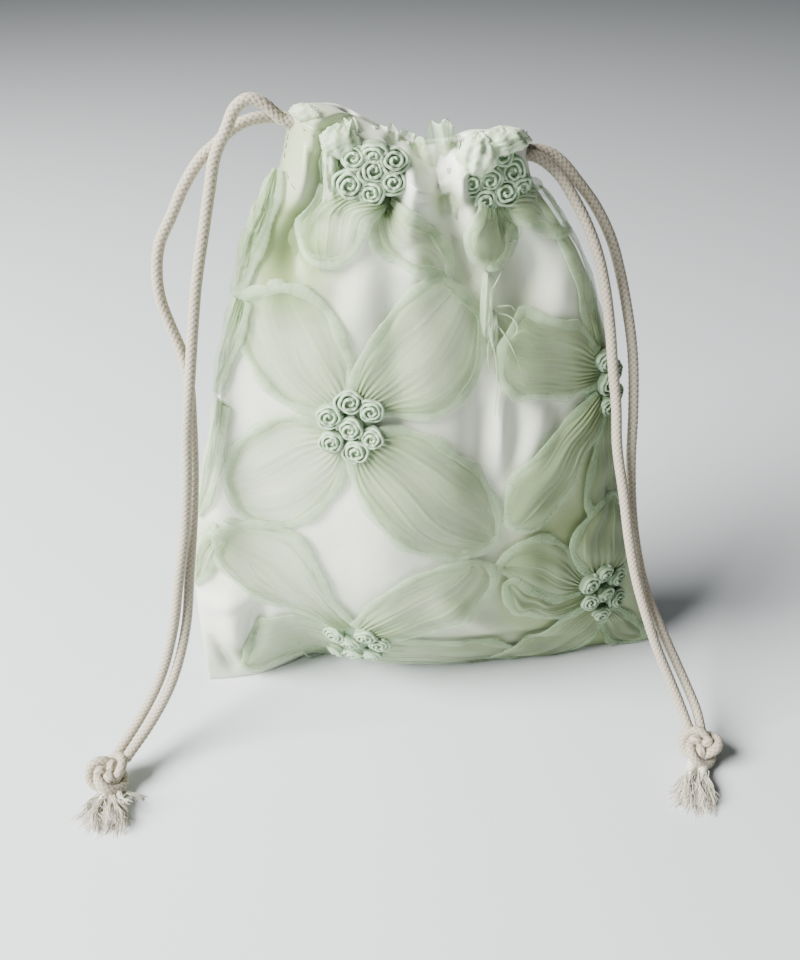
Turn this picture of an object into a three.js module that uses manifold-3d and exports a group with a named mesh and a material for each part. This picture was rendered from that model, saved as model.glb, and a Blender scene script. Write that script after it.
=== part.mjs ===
// Drawstring pouch bag of ivory satin, with organza flowers sewn over its front.
// Millimetres, +Z up. X runs along the bottom seam, the front faces -Y, and the base lies on z = 0.

import * as THREE from 'three';
import { mergeVertices } from 'three/addons/utils/BufferGeometryUtils.js';
import Module from 'manifold-3d';

const wasm = await Module();
wasm.setup();

// The pouch
const halfWidth = 101.5;
const height = 240;
const fullness = 29;
const casingDrop = 9;
const satin = 1.8;

// The gathers under the casing
const gatherDepth = 3.4;
const gathers = 5;
const gatherStart = 0.6;

// The casing: a hem turned in round the mouth, with a channel for the two drawcords
const casingHeight = 28;
const casingCloth = 1.5;
const cordDiameter = 4;
const cordSlack = 2;
const channelWidth = cordDiameter + cordSlack;
const cordLayer = (cordDiameter + 0.4) / 2;
const channelHeight = 2 * (cordLayer + cordDiameter / 2) + 1.6;
const channelMiddle = 1 - (channelHeight / 2 + casingCloth) / height;
const hemFall = 4;
const sidePull = 2;
const seamCloth = sidePull * casingCloth;
const turnRoom = 2.2;

// The organza
const petalCloth = 1.3;
const petalPuff = 1.4;
const rimRise = 1.1;
const petalSink = 1.4;
const rosetteRadius = 4.9;
const rosetteHeight = 4.2;
const rosetteRing = 9.2;
const padRise = 2;

// Knots and ends of the drawcords
const knotRing = 5.2;
const knotStrand = 2.7;

const clearance = 0.3;
const columns = 16;
const cordSides = 8;

function table(names, rows) {
  return rows.map((row) => Object.fromEntries(names.map((name, i) => [name, row[i]])));
}

// Sections of the filled pouch. Heights are shares of the height, left and right shares of the half
// width, front and back shares of the fullness, and curve is the power that shapes the section.
const sections = table(
  ['at', 'left', 'right', 'front', 'back', 'curve'],
  [
    [0.000, 1.000, 1.000, 0.26, 0.66, 0.80],
    [0.014, 1.000, 0.992, 0.42, 0.76, 0.80],
    [0.039, 1.000, 0.975, 0.58, 0.88, 0.80],
    [0.103, 1.000, 0.930, 0.84, 1.02, 0.80],
    [0.187, 1.000, 0.865, 0.98, 1.08, 0.80],
    [0.270, 0.990, 0.810, 1.00, 1.08, 0.80],
    [0.374, 0.945, 0.750, 0.97, 1.03, 0.80],
    [0.501, 0.860, 0.690, 0.92, 0.96, 0.78],
    [0.629, 0.795, 0.620, 0.82, 0.84, 0.74],
    [0.742, 0.735, 0.525, 0.68, 0.70, 0.66],
    [0.811, 0.680, 0.450, 0.55, 0.57, 0.56],
    [0.865, 0.620, 0.365, 0.47, 0.49, 0.46],
    [0.924, 0.545, 0.275, 0.44, 0.45, 0.44],
    [1.000, 0.500, 0.240, 0.44, 0.45, 0.44],
  ],
);

// Hollows in the front. Foot and head say how far across the fold runs at the bottom and at the top,
// width is its half breadth in the same shares, depth is a share of the fullness.
const hollows = table(
  ['foot', 'head', 'width', 'depth', 'from', 'to'],
  [
    [-0.50, -0.66, 0.20, 0.45, -0.30, 0.34],
    [0.34, 0.22, 0.12, 0.14, 0.15, 0.85],
    [-0.05, -0.20, 0.10, 0.09, 0.45, 0.95],
  ],
);

// The flowers on the front: centres as shares of the half width and the height, and how many small
// roses stand round the middle one.
const flowers = table(
  ['name', 'x', 'z', 'around', 'turn'],
  [
    ['a', -0.355, 0.575, 6, 15],
    ['b', -0.360, 0.169, 6, 0],
    ['c', 0.640, 0.183, 6, 20],
    ['d', 0.560, 0.592, 2, 92],
    ['e', -0.276, 0.914, 6, 30],
    ['f', 0.112, 0.907, 6, 20],
  ],
);

// The petals: tip as shares of the half width and the height, and the breadth to each side of the
// line from flower to tip, as shares of the half width. Wide says where along it the petal is widest.
const petals = table(
  ['name', 'flower', 'x', 'z', 'left', 'right', 'wide', 'puff'],
  [
    ['a1', 'a', -0.600, 0.795, 0.145, 0.092, 0.55, 1.0],
    ['a2', 'a', 0.115, 0.737, 0.165, 0.140, 0.66, 1.4],
    ['a3', 'a', 0.145, 0.339, 0.145, 0.165, 0.60, 1.4],
    ['a4', 'a', -0.800, 0.429, 0.190, 0.130, 0.58, 1.2],
    ['b1', 'b', -0.915, 0.346, 0.065, 0.190, 0.62, 1.2],
    ['b2', 'b', 0.130, 0.300, 0.125, 0.105, 0.60, 1.2],
    ['b3', 'b', -0.760, 0.057, 0.050, 0.110, 0.50, 0.8],
    ['b4', 'b', 0.225, 0.096, 0.060, 0.085, 0.60, 0.8],
    ['c1', 'c', 0.590, 0.346, 0.105, 0.100, 0.60, 1.0],
    ['c2', 'c', 0.200, 0.258, 0.080, 0.105, 0.66, 1.2],
    ['c3', 'c', 0.290, 0.071, 0.105, 0.050, 0.60, 1.0],
    ['c4', 'c', 0.880, 0.069, 0.070, 0.070, 0.60, 0.8],
    ['d1', 'd', 0.195, 0.669, 0.075, 0.120, 0.66, 1.2],
    ['d2', 'd', 0.250, 0.360, 0.105, 0.100, 0.55, 1.2],
    ['d3', 'd', 0.470, 0.787, 0.060, 0.050, 0.60, 0.8],
    ['d4', 'd', 0.655, 0.405, 0.055, 0.070, 0.60, 0.8],
    ['e1', 'e', -0.455, 0.762, 0.080, 0.075, 0.62, 1.0],
    ['e2', 'e', -0.235, 0.787, 0.060, 0.055, 0.55, 0.8],
    ['f1', 'f', 0.345, 0.798, 0.070, 0.070, 0.62, 1.2],
    ['f2', 'f', 0.080, 0.772, 0.070, 0.065, 0.60, 1.0],
  ],
);

// Frills of organza that stand up at the mouth, and the rolled petal on the left shoulder, each from
// its own root to its tip.
const frills = table(
  ['name', 'rootX', 'rootZ', 'x', 'z', 'left', 'right', 'wide', 'puff'],
  [
    ['mouth_frill_left', -0.440, 0.945, -0.445, 1.004, 0.040, 0.024, 0.60, 0.6],
    ['mouth_frill_middle', -0.085, 0.936, -0.075, 1.005, 0.050, 0.045, 0.60, 0.6],
    ['shoulder_petal', -0.575, 0.848, -0.705, 0.762, 0.030, 0.055, 0.45, 1.2],
  ],
);

// Smooth reading between the rows of a table
function read(rows, column, at) {
  const last = rows.length - 1;
  const place = Math.min(Math.max(at, rows[0].at), rows[last].at);
  let i = 0;
  while (i < last - 1 && rows[i + 1].at < place) i += 1;
  const slope = (k) => {
    const before = rows[Math.max(k - 1, 0)];
    const after = rows[Math.min(k + 1, last)];
    return (after[column] - before[column]) / (after.at - before.at);
  };
  const step = rows[i + 1].at - rows[i].at;
  const t = (place - rows[i].at) / step;
  return (2 * t ** 3 - 3 * t ** 2 + 1) * rows[i][column]
    + (t ** 3 - 2 * t ** 2 + t) * step * slope(i)
    + (3 * t ** 2 - 2 * t ** 3) * rows[i + 1][column]
    + (t ** 3 - t ** 2) * step * slope(i + 1);
}

// The side seams at one height, pulled in by an inset
function seams(up, inset) {
  return {
    left: -halfWidth * read(sections, 'left', up) + inset,
    right: halfWidth * read(sections, 'right', up) - inset,
  };
}

function hollowDepth(across, up) {
  let depth = 0;
  for (const hollow of hollows) {
    const span = (up - hollow.from) / (hollow.to - hollow.from);
    if (span <= 0 || span >= 1) continue;
    const middle = hollow.foot + (hollow.head - hollow.foot) * up;
    const shape = Math.exp(-(((across - middle) / hollow.width) ** 2));
    depth += hollow.depth * shape * Math.sin(Math.PI * span) ** 2;
  }
  return depth * fullness;
}

// The gathers stand out from the cloth and fade down the bag
function gatherHeight(across, up) {
  const share = Math.max(0, (up - gatherStart) / (1 - gatherStart));
  const wave = (1 + Math.cos(2 * Math.PI * gathers * (across + 0.05) / 2)) / 2;
  return gatherDepth * share ** 1.3 * wave * (1 - across ** 6);
}

// A point of the pouch. Side is 'front' or 'back', across runs from -1 at the left seam to 1 at the
// right seam, up is a share of the height, and the insets go inwards from the satin's outer face.
function skin(side, across, up, inset = 0, seamInset = inset, gathered = true) {
  const level = Math.min(Math.max(up, 0), 1);
  const { left, right } = seams(level, seamInset);
  const bow = Math.max(0, 1 - across ** 2) ** read(sections, 'curve', level);
  const depth = (fullness * read(sections, side, level) - inset) * bow;
  const gather = gathered ? gatherHeight(across, level) : 0;
  const y = side === 'front' ? hollowDepth(across, level) - depth - gather : depth + gather;
  const z = height * up - casingDrop * ((across + 1) / 2) * level ** 3;
  return new THREE.Vector3((left + right) / 2 + ((right - left) / 2) * across, y, z);
}

// Where a point of the flat front view lies on the pouch
function place(x, z) {
  let up = z / height;
  let across = 0;
  for (let pass = 0; pass < 8; pass += 1) {
    const level = Math.min(Math.max(up, 0), 1);
    const { left, right } = seams(level, 0);
    across = Math.min(Math.max((2 * x - left - right) / (right - left), -0.995), 0.995);
    up = Math.max(0, (z + casingDrop * ((across + 1) / 2) * level ** 3) / height);
  }
  return { across, up };
}

// A point over the front of the pouch, raised square to the cloth
function over(x, z, rise) {
  const { across, up } = place(x, z);
  const nudge = 0.01;
  const here = skin('front', across, up);
  const side = Math.min(across, 0.98);
  const right = skin('front', side + nudge, up).sub(skin('front', side - nudge, up));
  const above = skin('front', across, up + nudge).sub(skin('front', across, up - nudge));
  return here.addScaledVector(right.cross(above).normalize(), rise);
}

function solidOf(geometry) {
  const bare = geometry.clone();
  for (const name of Object.keys(bare.attributes)) {
    if (name !== 'position') bare.deleteAttribute(name);
  }
  const merged = mergeVertices(bare, 1e-4);
  const mesh = new wasm.Mesh({
    numProp: 3,
    vertProperties: new Float32Array(merged.attributes.position.array),
    triVerts: new Uint32Array(merged.index.array),
  });
  return new wasm.Manifold(mesh);
}

function geometryOf(solid) {
  const mesh = solid.getMesh();
  const geometry = new THREE.BufferGeometry();
  const position = new THREE.BufferAttribute(new Float32Array(mesh.vertProperties), 3);
  geometry.setAttribute('position', position);
  geometry.setIndex(new THREE.BufferAttribute(new Uint32Array(mesh.triVerts), 1));
  return geometry;
}

// A closed solid from rings of points, all with the same count, and a fan over each end
function loft(rings) {
  const count = rings[0].length;
  const points = rings.flat();
  const faces = [];
  for (let j = 0; j < rings.length - 1; j += 1) {
    for (let i = 0; i < count; i += 1) {
      const a = j * count + i;
      const b = j * count + ((i + 1) % count);
      faces.push(a, b, b + count, a, b + count, a + count);
    }
  }
  const ends = [0, rings.length - 1].map((j) => {
    const middle = new THREE.Vector3();
    rings[j].forEach((point) => middle.add(point));
    points.push(middle.divideScalar(count));
    return points.length - 1;
  });
  for (let i = 0; i < count; i += 1) {
    const next = (i + 1) % count;
    const top = (rings.length - 1) * count;
    faces.push(ends[0], next, i, ends[1], top + i, top + next);
  }
  const geometry = new THREE.BufferGeometry().setFromPoints(points);
  geometry.setIndex(faces);
  return geometry;
}

// The closed form of the pouch between two heights, inset from its outer face. Each ring's front and
// back points share their places across, so that the ends close in a strip.
function pouchForm(levels, inset, seamInset, gathered, floor = -Infinity) {
  const shares = [];
  for (let i = 0; i <= columns; i += 1) {
    const u = i / columns;
    shares.push(-0.4 * Math.cos(Math.PI * u) + 0.6 * (2 * u - 1));
  }
  const points = [];
  const faces = [];
  const count = 2 * columns;
  for (const up of levels) {
    for (let i = 0; i < count; i += 1) {
      const front = i <= columns;
      const across = front ? shares[i] : shares[count - i];
      const point = skin(front ? 'front' : 'back', across, up, inset, seamInset, gathered);
      point.z = Math.max(point.z, floor);
      points.push(point);
    }
  }
  for (let j = 0; j < levels.length - 1; j += 1) {
    for (let i = 0; i < count; i += 1) {
      const a = j * count + i;
      const b = j * count + ((i + 1) % count);
      faces.push(a, b, b + count, a, b + count, a + count);
    }
  }
  const top = (levels.length - 1) * count;
  for (let i = 0; i < columns; i += 1) {
    const backHere = (count - i) % count;
    const backNext = count - i - 1;
    if (i > 0) {
      faces.push(i, backHere, i + 1);
      faces.push(top + i, top + i + 1, top + backHere);
    }
    if (i < columns - 1) {
      faces.push(i + 1, backHere, backNext);
      faces.push(top + i + 1, top + backNext, top + backHere);
    }
  }
  const geometry = new THREE.BufferGeometry().setFromPoints(points);
  geometry.setIndex(faces);
  return solidOf(geometry);
}

// Heights of the rings, close together where the bag turns under and at the casing
const casingFoot = 1 - casingHeight / height;
const levels = [0, 0.014, 0.045, 0.1, 0.18, 0.27, 0.37, 0.48, 0.59, 0.68, 0.755, 0.82];
levels.push(casingFoot, (1 + casingFoot) / 2, 1);
const roomLevels = [0.045, 0.1, 0.18, 0.37, 0.59, 0.755, 0.82];

// The pouch: outer form, less the room inside, the open mouth and the drawcord channel
function pouchBody() {
  const outer = pouchForm(levels, 0, 0, true);
  const hemFoot = casingFoot - hemFall / height;
  const inside = pouchForm([satin / height, ...roomLevels, hemFoot], satin, sidePull * satin, false);
  const hem = 2 * casingCloth + channelWidth;
  const coreSeam = seamCloth + channelWidth + turnRoom;
  const mouthRings = [hemFoot - satin / height, casingFoot, 1 + satin / height];
  const mouth = pouchForm(mouthRings, hem, coreSeam + 2 * casingCloth, false);
  const half = channelHeight / 2 / height;
  const ringLevels = [channelMiddle - half, channelMiddle, channelMiddle + half];
  const ring = pouchForm(ringLevels, casingCloth, seamCloth, false);
  const coreLevels = [channelMiddle - 2 * half, channelMiddle, channelMiddle + 2 * half];
  const core = pouchForm(coreLevels, casingCloth + channelWidth, coreSeam, false);
  let body = outer.subtract(inside).subtract(mouth).subtract(ring.subtract(core));
  for (const exit of [cordExit('left'), cordExit('right')]) {
    const slitWidth = 2 * cordDiameter + 1.5 * cordSlack;
    const slit = new THREE.BoxGeometry(4 * cordDiameter, slitWidth, cordDiameter + cordSlack);
    slit.translate(exit.x, exit.y, exit.z);
    body = body.subtract(solidOf(slit));
  }
  return body;
}

// Middle of the slit in the side seam where a drawcord's two strands come out. The left drawcord
// runs in the upper half of the channel and the right one in the lower half.
function cordExit(side) {
  const end = skin('front', side === 'left' ? -1 : 1, channelMiddle);
  return new THREE.Vector3(end.x, 0, end.z + (side === 'left' ? cordLayer : -cordLayer));
}

// A petal: its breadth follows a leaf outline, its rim is rolled, and it lies on the satin
function petalForm(root, tip, petal) {
  const rows = [0, 0.2, 0.42, 0.65, 0.87, 1];
  const spread = [-1, -0.8, 0, 0.8, 1];
  const axis = tip.clone().sub(root);
  const length = axis.length();
  const dir = axis.divideScalar(length);
  const breadth = (t) => {
    const rise = t < petal.wide ? t / petal.wide : (1 - t) / (1 - petal.wide);
    const rounded = Math.sin((Math.PI / 2) * Math.min(1, rise)) ** (t < petal.wide ? 0.8 : 0.5);
    return Math.max(rounded, t < petal.wide ? 0.24 : 0.1);
  };
  const ring = (t) => {
    const points = [];
    const at = (side, rise) => {
      const reach = side * breadth(t) * halfWidth * (side > 0 ? petal.left : petal.right);
      const x = root.x + dir.x * length * t - dir.y * reach;
      const z = root.y + dir.y * length * t + dir.x * reach;
      return over(x, Math.max(z, petalCloth), rise);
    };
    for (const side of [...spread].reverse()) {
      const puff = petalPuff * petal.puff * Math.sin(Math.PI * t) * (1 - side ** 2);
      const rim = Math.abs(side) > 0.7 && Math.abs(side) < 0.9 ? rimRise : 0;
      points.push(at(side, petalCloth + puff + rim));
    }
    for (const side of spread) points.push(at(side, -petalSink));
    return points;
  };
  return loft(rows.map(ring));
}

// A small rolled rose, as a bud with a rounded shoulder
function rosette(x, z, radius) {
  const sides = 6;
  const middle = over(x, z, 0);
  const normal = over(x, z, 1).sub(middle).normalize();
  const right = new THREE.Vector3(1, 0, 0).addScaledVector(normal, -normal.x).normalize();
  const above = normal.clone().cross(right);
  const profile = table(['out', 'up'], [[0.8, -0.4], [1, 0.35], [0.6, 1]]);
  const rings = profile.map((step) => {
    const points = [];
    for (let i = 0; i < sides; i += 1) {
      const angle = (2 * Math.PI * i) / sides;
      const point = middle.clone().addScaledVector(normal, rosetteHeight * step.up);
      point.addScaledVector(right, Math.cos(angle) * radius * step.out);
      point.addScaledVector(above, Math.sin(angle) * radius * step.out);
      points.push(point);
    }
    return points;
  });
  return solidOf(loft(rings));
}

// The small roses are sewn to a pad of gathered organza
function pad(x, z, radius) {
  const sides = 10;
  const ring = (rise, reach) => {
    const points = [];
    for (let i = 0; i < sides; i += 1) {
      const angle = (2 * Math.PI * i) / sides;
      points.push(over(x + Math.cos(angle) * reach, z + Math.sin(angle) * reach, rise));
    }
    return points;
  };
  return solidOf(loft([ring(-petalSink, radius), ring(padRise, radius)]));
}

function rosettesOf(flower) {
  const x = flower.x * halfWidth;
  const z = flower.z * height;
  let cluster = rosette(x, z, rosetteRadius).add(pad(x, z, rosetteRing));
  for (let i = 0; i < flower.around; i += 1) {
    const angle = (flower.turn * Math.PI) / 180 + (2 * Math.PI * i) / flower.around;
    const dx = rosetteRing * Math.cos(angle);
    const dz = rosetteRing * Math.sin(angle);
    cluster = cluster.add(rosette(x + dx, z + dz, rosetteRadius));
  }
  return cluster;
}

// The drawcords' free strands, from the casing to the knots: points chosen by hand
const strands = {
  cord_left_front: [
    [-48.9, -2.3, 235.5], [-53, -2.4, 236], [-56, -2.7, 238.5], [-59.5, -3, 241.5], [-63.5, -3, 242.5],
    [-67.5, -3, 240], [-71, -3, 233.5], [-75, -3, 226], [-78, -4, 215], [-81, -5, 203], [-85, -7, 187],
    [-88, -9, 171], [-91, -12, 153], [-94, -15, 135], [-96, -18, 117], [-99, -21, 97], [-103, -25, 79],
    [-108, -29, 56], [-115, -33, 36], [-124, -38, 21], [-134.6, -47.4, 10],
  ],
  cord_left_back: [
    [-48.9, 2.3, 235.5], [-53, 2.4, 235.6], [-58, 2.8, 235.8], [-64, 3, 235], [-69.5, 2.5, 232.5],
    [-74.5, 2, 228.5], [-80, 1.5, 224], [-86, 1, 216], [-91, 0, 207], [-96, -1, 198], [-98, -2, 189],
    [-98, -3, 180], [-96, -4, 171], [-93.5, -5, 162], [-92, -6.5, 152], [-92.5, -10, 135],
    [-94, -13, 116], [-96.5, -16.7, 96], [-99.5, -21.8, 78], [-103.4, -27.6, 55], [-110.6, -34, 34.4],
    [-119.9, -39.8, 19.5], [-130.8, -49.8, 9.8],
  ],
  cord_right_outer: [
    [22.7, 2.3, 222.8], [27, 2.4, 223.2], [31, 2.5, 223], [35, 2.5, 221.5], [39, 2, 218.5], [44, 1, 213],
    [51, 0, 204.5], [57, -2, 194], [61, -4, 183], [65, -8, 167], [68, -11, 151], [69, -16, 132],
    [69, -21, 113], [70, -27, 94], [73, -32, 76], [77, -37, 61], [82, -42, 49], [88, -47, 36],
    [93, -53, 25], [96.3, -60, 16.5], [97, -66, 10.5],
  ],
  cord_right_inner: [
    [22.7, -2.3, 222.8], [27, -2.6, 222.6], [31, -3.5, 220.8], [36, -5, 216.5], [41, -6.5, 209.5],
    [46, -8, 201], [50.5, -9.5, 191], [54, -11, 179.5], [57, -13, 165], [59, -16, 150], [61, -19, 136],
    [62, -23, 121], [65, -28.5, 103], [67.5, -34, 86], [71, -38.5, 70], [75.5, -43.5, 55],
    [80, -48, 42], [85.5, -53.5, 29], [89.5, -59.5, 19], [92, -66, 11.5],
  ],
};

// The middle of each knot on the surface, and the way its loose ends point
const knots = {
  left: { x: -137, y: -54, toX: 0.05, toY: -1, neck: 2, length: 19, breadth: 10.5 },
  right: { x: 95, y: -71, toX: -0.62, toY: -0.78, neck: 9, length: 27, breadth: 8 },
};

function roundOutline(radius) {
  const outline = [];
  for (let i = 0; i < cordSides; i += 1) {
    const angle = (2 * Math.PI * i) / cordSides;
    outline.push(new THREE.Vector2(Math.cos(angle), Math.sin(angle)).multiplyScalar(radius));
  }
  return new THREE.Shape(outline);
}

// A tube of cord along a smooth curve, with a step about every three diameters
function cordTube(points, radius, beyond = 0) {
  const route = points.map((point) => new THREE.Vector3(...point));
  const last = route[route.length - 1];
  const heading = last.clone().sub(route[route.length - 2]).normalize();
  last.addScaledVector(heading, beyond);
  const curve = new THREE.CatmullRomCurve3(route, false, 'centripetal');
  const steps = Math.round(curve.getLength() / (3 * cordDiameter));
  return new THREE.ExtrudeGeometry(roundOutline(radius), { steps, extrudePath: curve, bevelEnabled: false });
}

// The stretch of a drawcord inside the casing: in at its slit, along the front, round the far end
// and back to the slit
function hiddenRoute(side) {
  const exit = cordExit(side);
  const out = side === 'left' ? -1 : 1;
  const inset = casingCloth + channelWidth / 2 + clearance / 2;
  const seamInset = seamCloth + channelWidth / 2;
  const layer = exit.z - skin('front', out, channelMiddle).z;
  const at = (face, across, push = 0) => {
    const point = skin(face, across, channelMiddle, inset, seamInset, false);
    return [point.x, point.y + push, point.z + layer];
  };
  const stops = [0.7, 0.5, 0.3, 0.08, -0.15, -0.38, -0.6, -0.77];
  const inside = exit.x - out * (cordDiameter - clearance);
  const tail = exit.x - out * (cordDiameter - clearance + 3);
  const front = stops.map((share) => at('front', share * out));
  const back = [...stops].reverse().map((share) => at('back', share * out));
  const strand = cordDiameter / 2 + clearance;
  return [
    [inside, -strand, exit.z],
    [tail, -strand - clearance, exit.z],
    ...front,
    at('front', -out),
    ...back,
    [tail, strand + clearance, exit.z],
    [inside, strand, exit.z],
  ];
}

// An overhand knot round both strands: two wraps over a core, resting on the surface
function knotForm(knot, ends) {
  const along = new THREE.Vector3(knot.toX, knot.toY, 0).normalize();
  const wraps = table(['shift', 'tilt', 'ring'], [[-2.6, 24, 1], [2.4, -22, 0.94]]);
  const turn = new THREE.Quaternion().setFromUnitVectors(new THREE.Vector3(0, 0, 1), along);
  let form = solidOf(new THREE.SphereGeometry(knotRing, 6, 4).applyQuaternion(turn));
  for (const wrap of wraps) {
    const ring = new THREE.TorusGeometry(knotRing * wrap.ring, knotStrand, 5, 8);
    ring.rotateX((wrap.tilt * Math.PI) / 180);
    ring.applyQuaternion(turn);
    ring.translate(along.x * wrap.shift, along.y * wrap.shift, 0);
    form = form.add(solidOf(ring));
  }
  const geometry = geometryOf(form);
  geometry.computeBoundingBox();
  geometry.translate(knot.x, knot.y, -geometry.boundingBox.min.z);
  let seated = solidOf(geometry);
  for (const points of ends) {
    seated = seated.subtract(solidOf(cordTube(points, cordDiameter / 2 + clearance, clearance)));
  }
  return seated;
}

// The loose end below a knot: two strands that open into a brush of combed cotton
function tuftForm(knot) {
  const sides = 12;
  const along = new THREE.Vector3(knot.toX, knot.toY, 0).normalize();
  const across = new THREE.Vector3(-along.y, along.x, 0);
  const start = knotRing;
  const thick = cordDiameter * 0.9;
  const ring = (share, spread, rise) => {
    const points = [];
    const reach = start + share * knot.length;
    for (let i = 0; i < sides; i += 1) {
      const angle = (2 * Math.PI * i) / sides;
      const lobe = 1 + 0.16 * spread * Math.cos(3 * angle);
      const point = new THREE.Vector3(knot.x, knot.y, rise + thick);
      point.addScaledVector(along, reach + (share > 0.9 ? 1.6 * Math.sin(5 * angle) : 0));
      point.addScaledVector(across, Math.cos(angle) * lobe * (cordDiameter * (1 - spread) + knot.breadth * spread));
      point.z += Math.sin(angle) * (thick - clearance);
      points.push(point);
    }
    return points;
  };
  const neck = knot.neck / knot.length;
  return solidOf(loft([ring(0, 0, 1.5), ring(neck, 0.1, 0.6), ring((1 + neck) / 2, 0.75, 0), ring(1, 1, 0)]));
}

const ivorySatin = new THREE.MeshStandardMaterial({ color: 0xedece2, roughness: 0.42 });
const organza = new THREE.MeshStandardMaterial({ color: 0xc9dcc3, roughness: 0.7 });
const rosetteOrganza = new THREE.MeshStandardMaterial({ color: 0xa9c6ac, roughness: 0.75 });
const cotton = new THREE.MeshStandardMaterial({ color: 0xded5c4, roughness: 0.85 });

const pouch = new THREE.Group();

function addPiece(name, geometry, material) {
  const mesh = new THREE.Mesh(geometry, material);
  mesh.name = name;
  pouch.add(mesh);
}

const shell = pouchForm([...levels.slice(0, -1), 1 + clearance / height], -clearance, -clearance, true);
addPiece('pouch_body', geometryOf(pouchBody()), ivorySatin);

for (const flower of flowers) {
  addPiece(`rosettes_${flower.name}`, geometryOf(rosettesOf(flower).subtract(shell)), rosetteOrganza);
}

for (const petal of petals) {
  const flower = flowers.find((other) => other.name === petal.flower);
  const middle = new THREE.Vector2(flower.x * halfWidth, flower.z * height);
  const tip = new THREE.Vector2(petal.x * halfWidth, petal.z * height);
  const start = rosetteRing + rosetteRadius + 2 * clearance;
  const root = middle.clone().add(tip.clone().sub(middle).setLength(start));
  const form = solidOf(petalForm(root, tip, petal)).subtract(shell);
  addPiece(`petal_${petal.name}`, geometryOf(form), organza);
}

for (const frill of frills) {
  const root = new THREE.Vector2(frill.rootX * halfWidth, frill.rootZ * height);
  const tip = new THREE.Vector2(frill.x * halfWidth, frill.z * height);
  addPiece(frill.name, geometryOf(solidOf(petalForm(root, tip, frill)).subtract(shell)), organza);
}

for (const side of ['left', 'right']) {
  const hidden = cordTube(hiddenRoute(side), cordDiameter / 2);
  addPiece(`drawcord_${side}_hidden`, hidden, cotton);
}

for (const [name, points] of Object.entries(strands)) {
  addPiece(name, cordTube(points, cordDiameter / 2), cotton);
}

for (const [side, knot] of Object.entries(knots)) {
  const ends = Object.keys(strands).filter((name) => name.includes(side)).map((name) => strands[name]);
  const form = knotForm(knot, ends);
  addPiece(`knot_${side}`, geometryOf(form), cotton);
  addPiece(`frayed_end_${side}`, geometryOf(tuftForm(knot).subtract(form)), cotton);
}

export default pouch;
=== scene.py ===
import math
import bpy
import numpy as np
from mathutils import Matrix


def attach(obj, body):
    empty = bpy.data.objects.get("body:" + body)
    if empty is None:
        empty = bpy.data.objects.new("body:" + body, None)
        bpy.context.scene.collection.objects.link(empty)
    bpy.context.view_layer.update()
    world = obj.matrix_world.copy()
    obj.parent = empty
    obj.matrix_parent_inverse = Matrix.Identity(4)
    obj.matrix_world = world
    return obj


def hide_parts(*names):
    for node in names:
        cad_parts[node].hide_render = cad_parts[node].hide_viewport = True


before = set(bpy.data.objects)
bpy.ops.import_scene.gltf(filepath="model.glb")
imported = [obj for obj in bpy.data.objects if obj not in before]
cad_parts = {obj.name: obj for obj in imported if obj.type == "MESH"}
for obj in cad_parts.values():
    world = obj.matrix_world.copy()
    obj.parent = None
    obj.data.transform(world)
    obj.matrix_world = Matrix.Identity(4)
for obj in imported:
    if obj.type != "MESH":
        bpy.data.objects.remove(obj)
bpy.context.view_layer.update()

# The studio: a pale floor, one wide soft light from the upper left, a sky that is paler on that side,
# and the camera where the photograph was taken from.
camera_place = (-0.0574, -0.3119, 0.3034)
camera_tilt = math.radians(90 - 33.13)
camera_turn = math.radians(-7.5)
camera_lens = 35.625
camera_sensor = 36
photograph_width = 800
photograph_height = 960
floor_half = 3.0
floor_colour = (0.68, 0.71, 0.735, 1)
floor_roughness = 0.7
sky_side = (-0.7, 0.5, 0.5)
sky_dark = (0.06, 0.062, 0.066, 1)
sky_pale = (0.80, 0.82, 0.84, 1)
sky_pale_from = 0.9
sky_strength = 0.34
window_place = (-1.18, -0.34, 0.98)
window_aim = (-0.01, 0, 0.10)
window_breadth = 0.95
window_watts = 110
window_colour = (1.0, 0.995, 0.97)


def plain_floor():
    mesh = bpy.data.meshes.new("pale_floor")
    corners = [(-floor_half, -floor_half, 0), (floor_half, -floor_half, 0),
               (floor_half, floor_half, 0), (-floor_half, floor_half, 0)]
    mesh.from_pydata(corners, [], [(0, 1, 2, 3)])
    paint = bpy.data.materials.new("pale_floor_paint")
    paint.use_nodes = True
    shader = paint.node_tree.nodes["Principled BSDF"]
    shader.inputs["Base Color"].default_value = floor_colour
    shader.inputs["Roughness"].default_value = floor_roughness
    mesh.materials.append(paint)
    floor = bpy.data.objects.new("pale_floor", mesh)
    bpy.context.collection.objects.link(floor)


def window_light():
    lamp = bpy.data.lights.new("window", "AREA")
    lamp.shape = "DISK"
    lamp.size = window_breadth
    lamp.energy = window_watts
    lamp.color = window_colour
    light = bpy.data.objects.new("window", lamp)
    way = np.array(window_aim) - np.array(window_place)
    light.location = window_place
    light.rotation_euler = (math.atan2(math.hypot(way[0], way[1]), -way[2]), 0, math.atan2(-way[0], way[1]))
    bpy.context.collection.objects.link(light)


def camera_stand():
    camera = bpy.data.cameras.new("camera")
    camera.lens = camera_lens
    camera.clip_start = 0.01
    stand = bpy.data.objects.new("camera", camera)
    stand.location = camera_place
    stand.rotation_euler = (camera_tilt, 0, camera_turn)
    bpy.context.collection.objects.link(stand)
    bpy.context.scene.camera = stand


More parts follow.
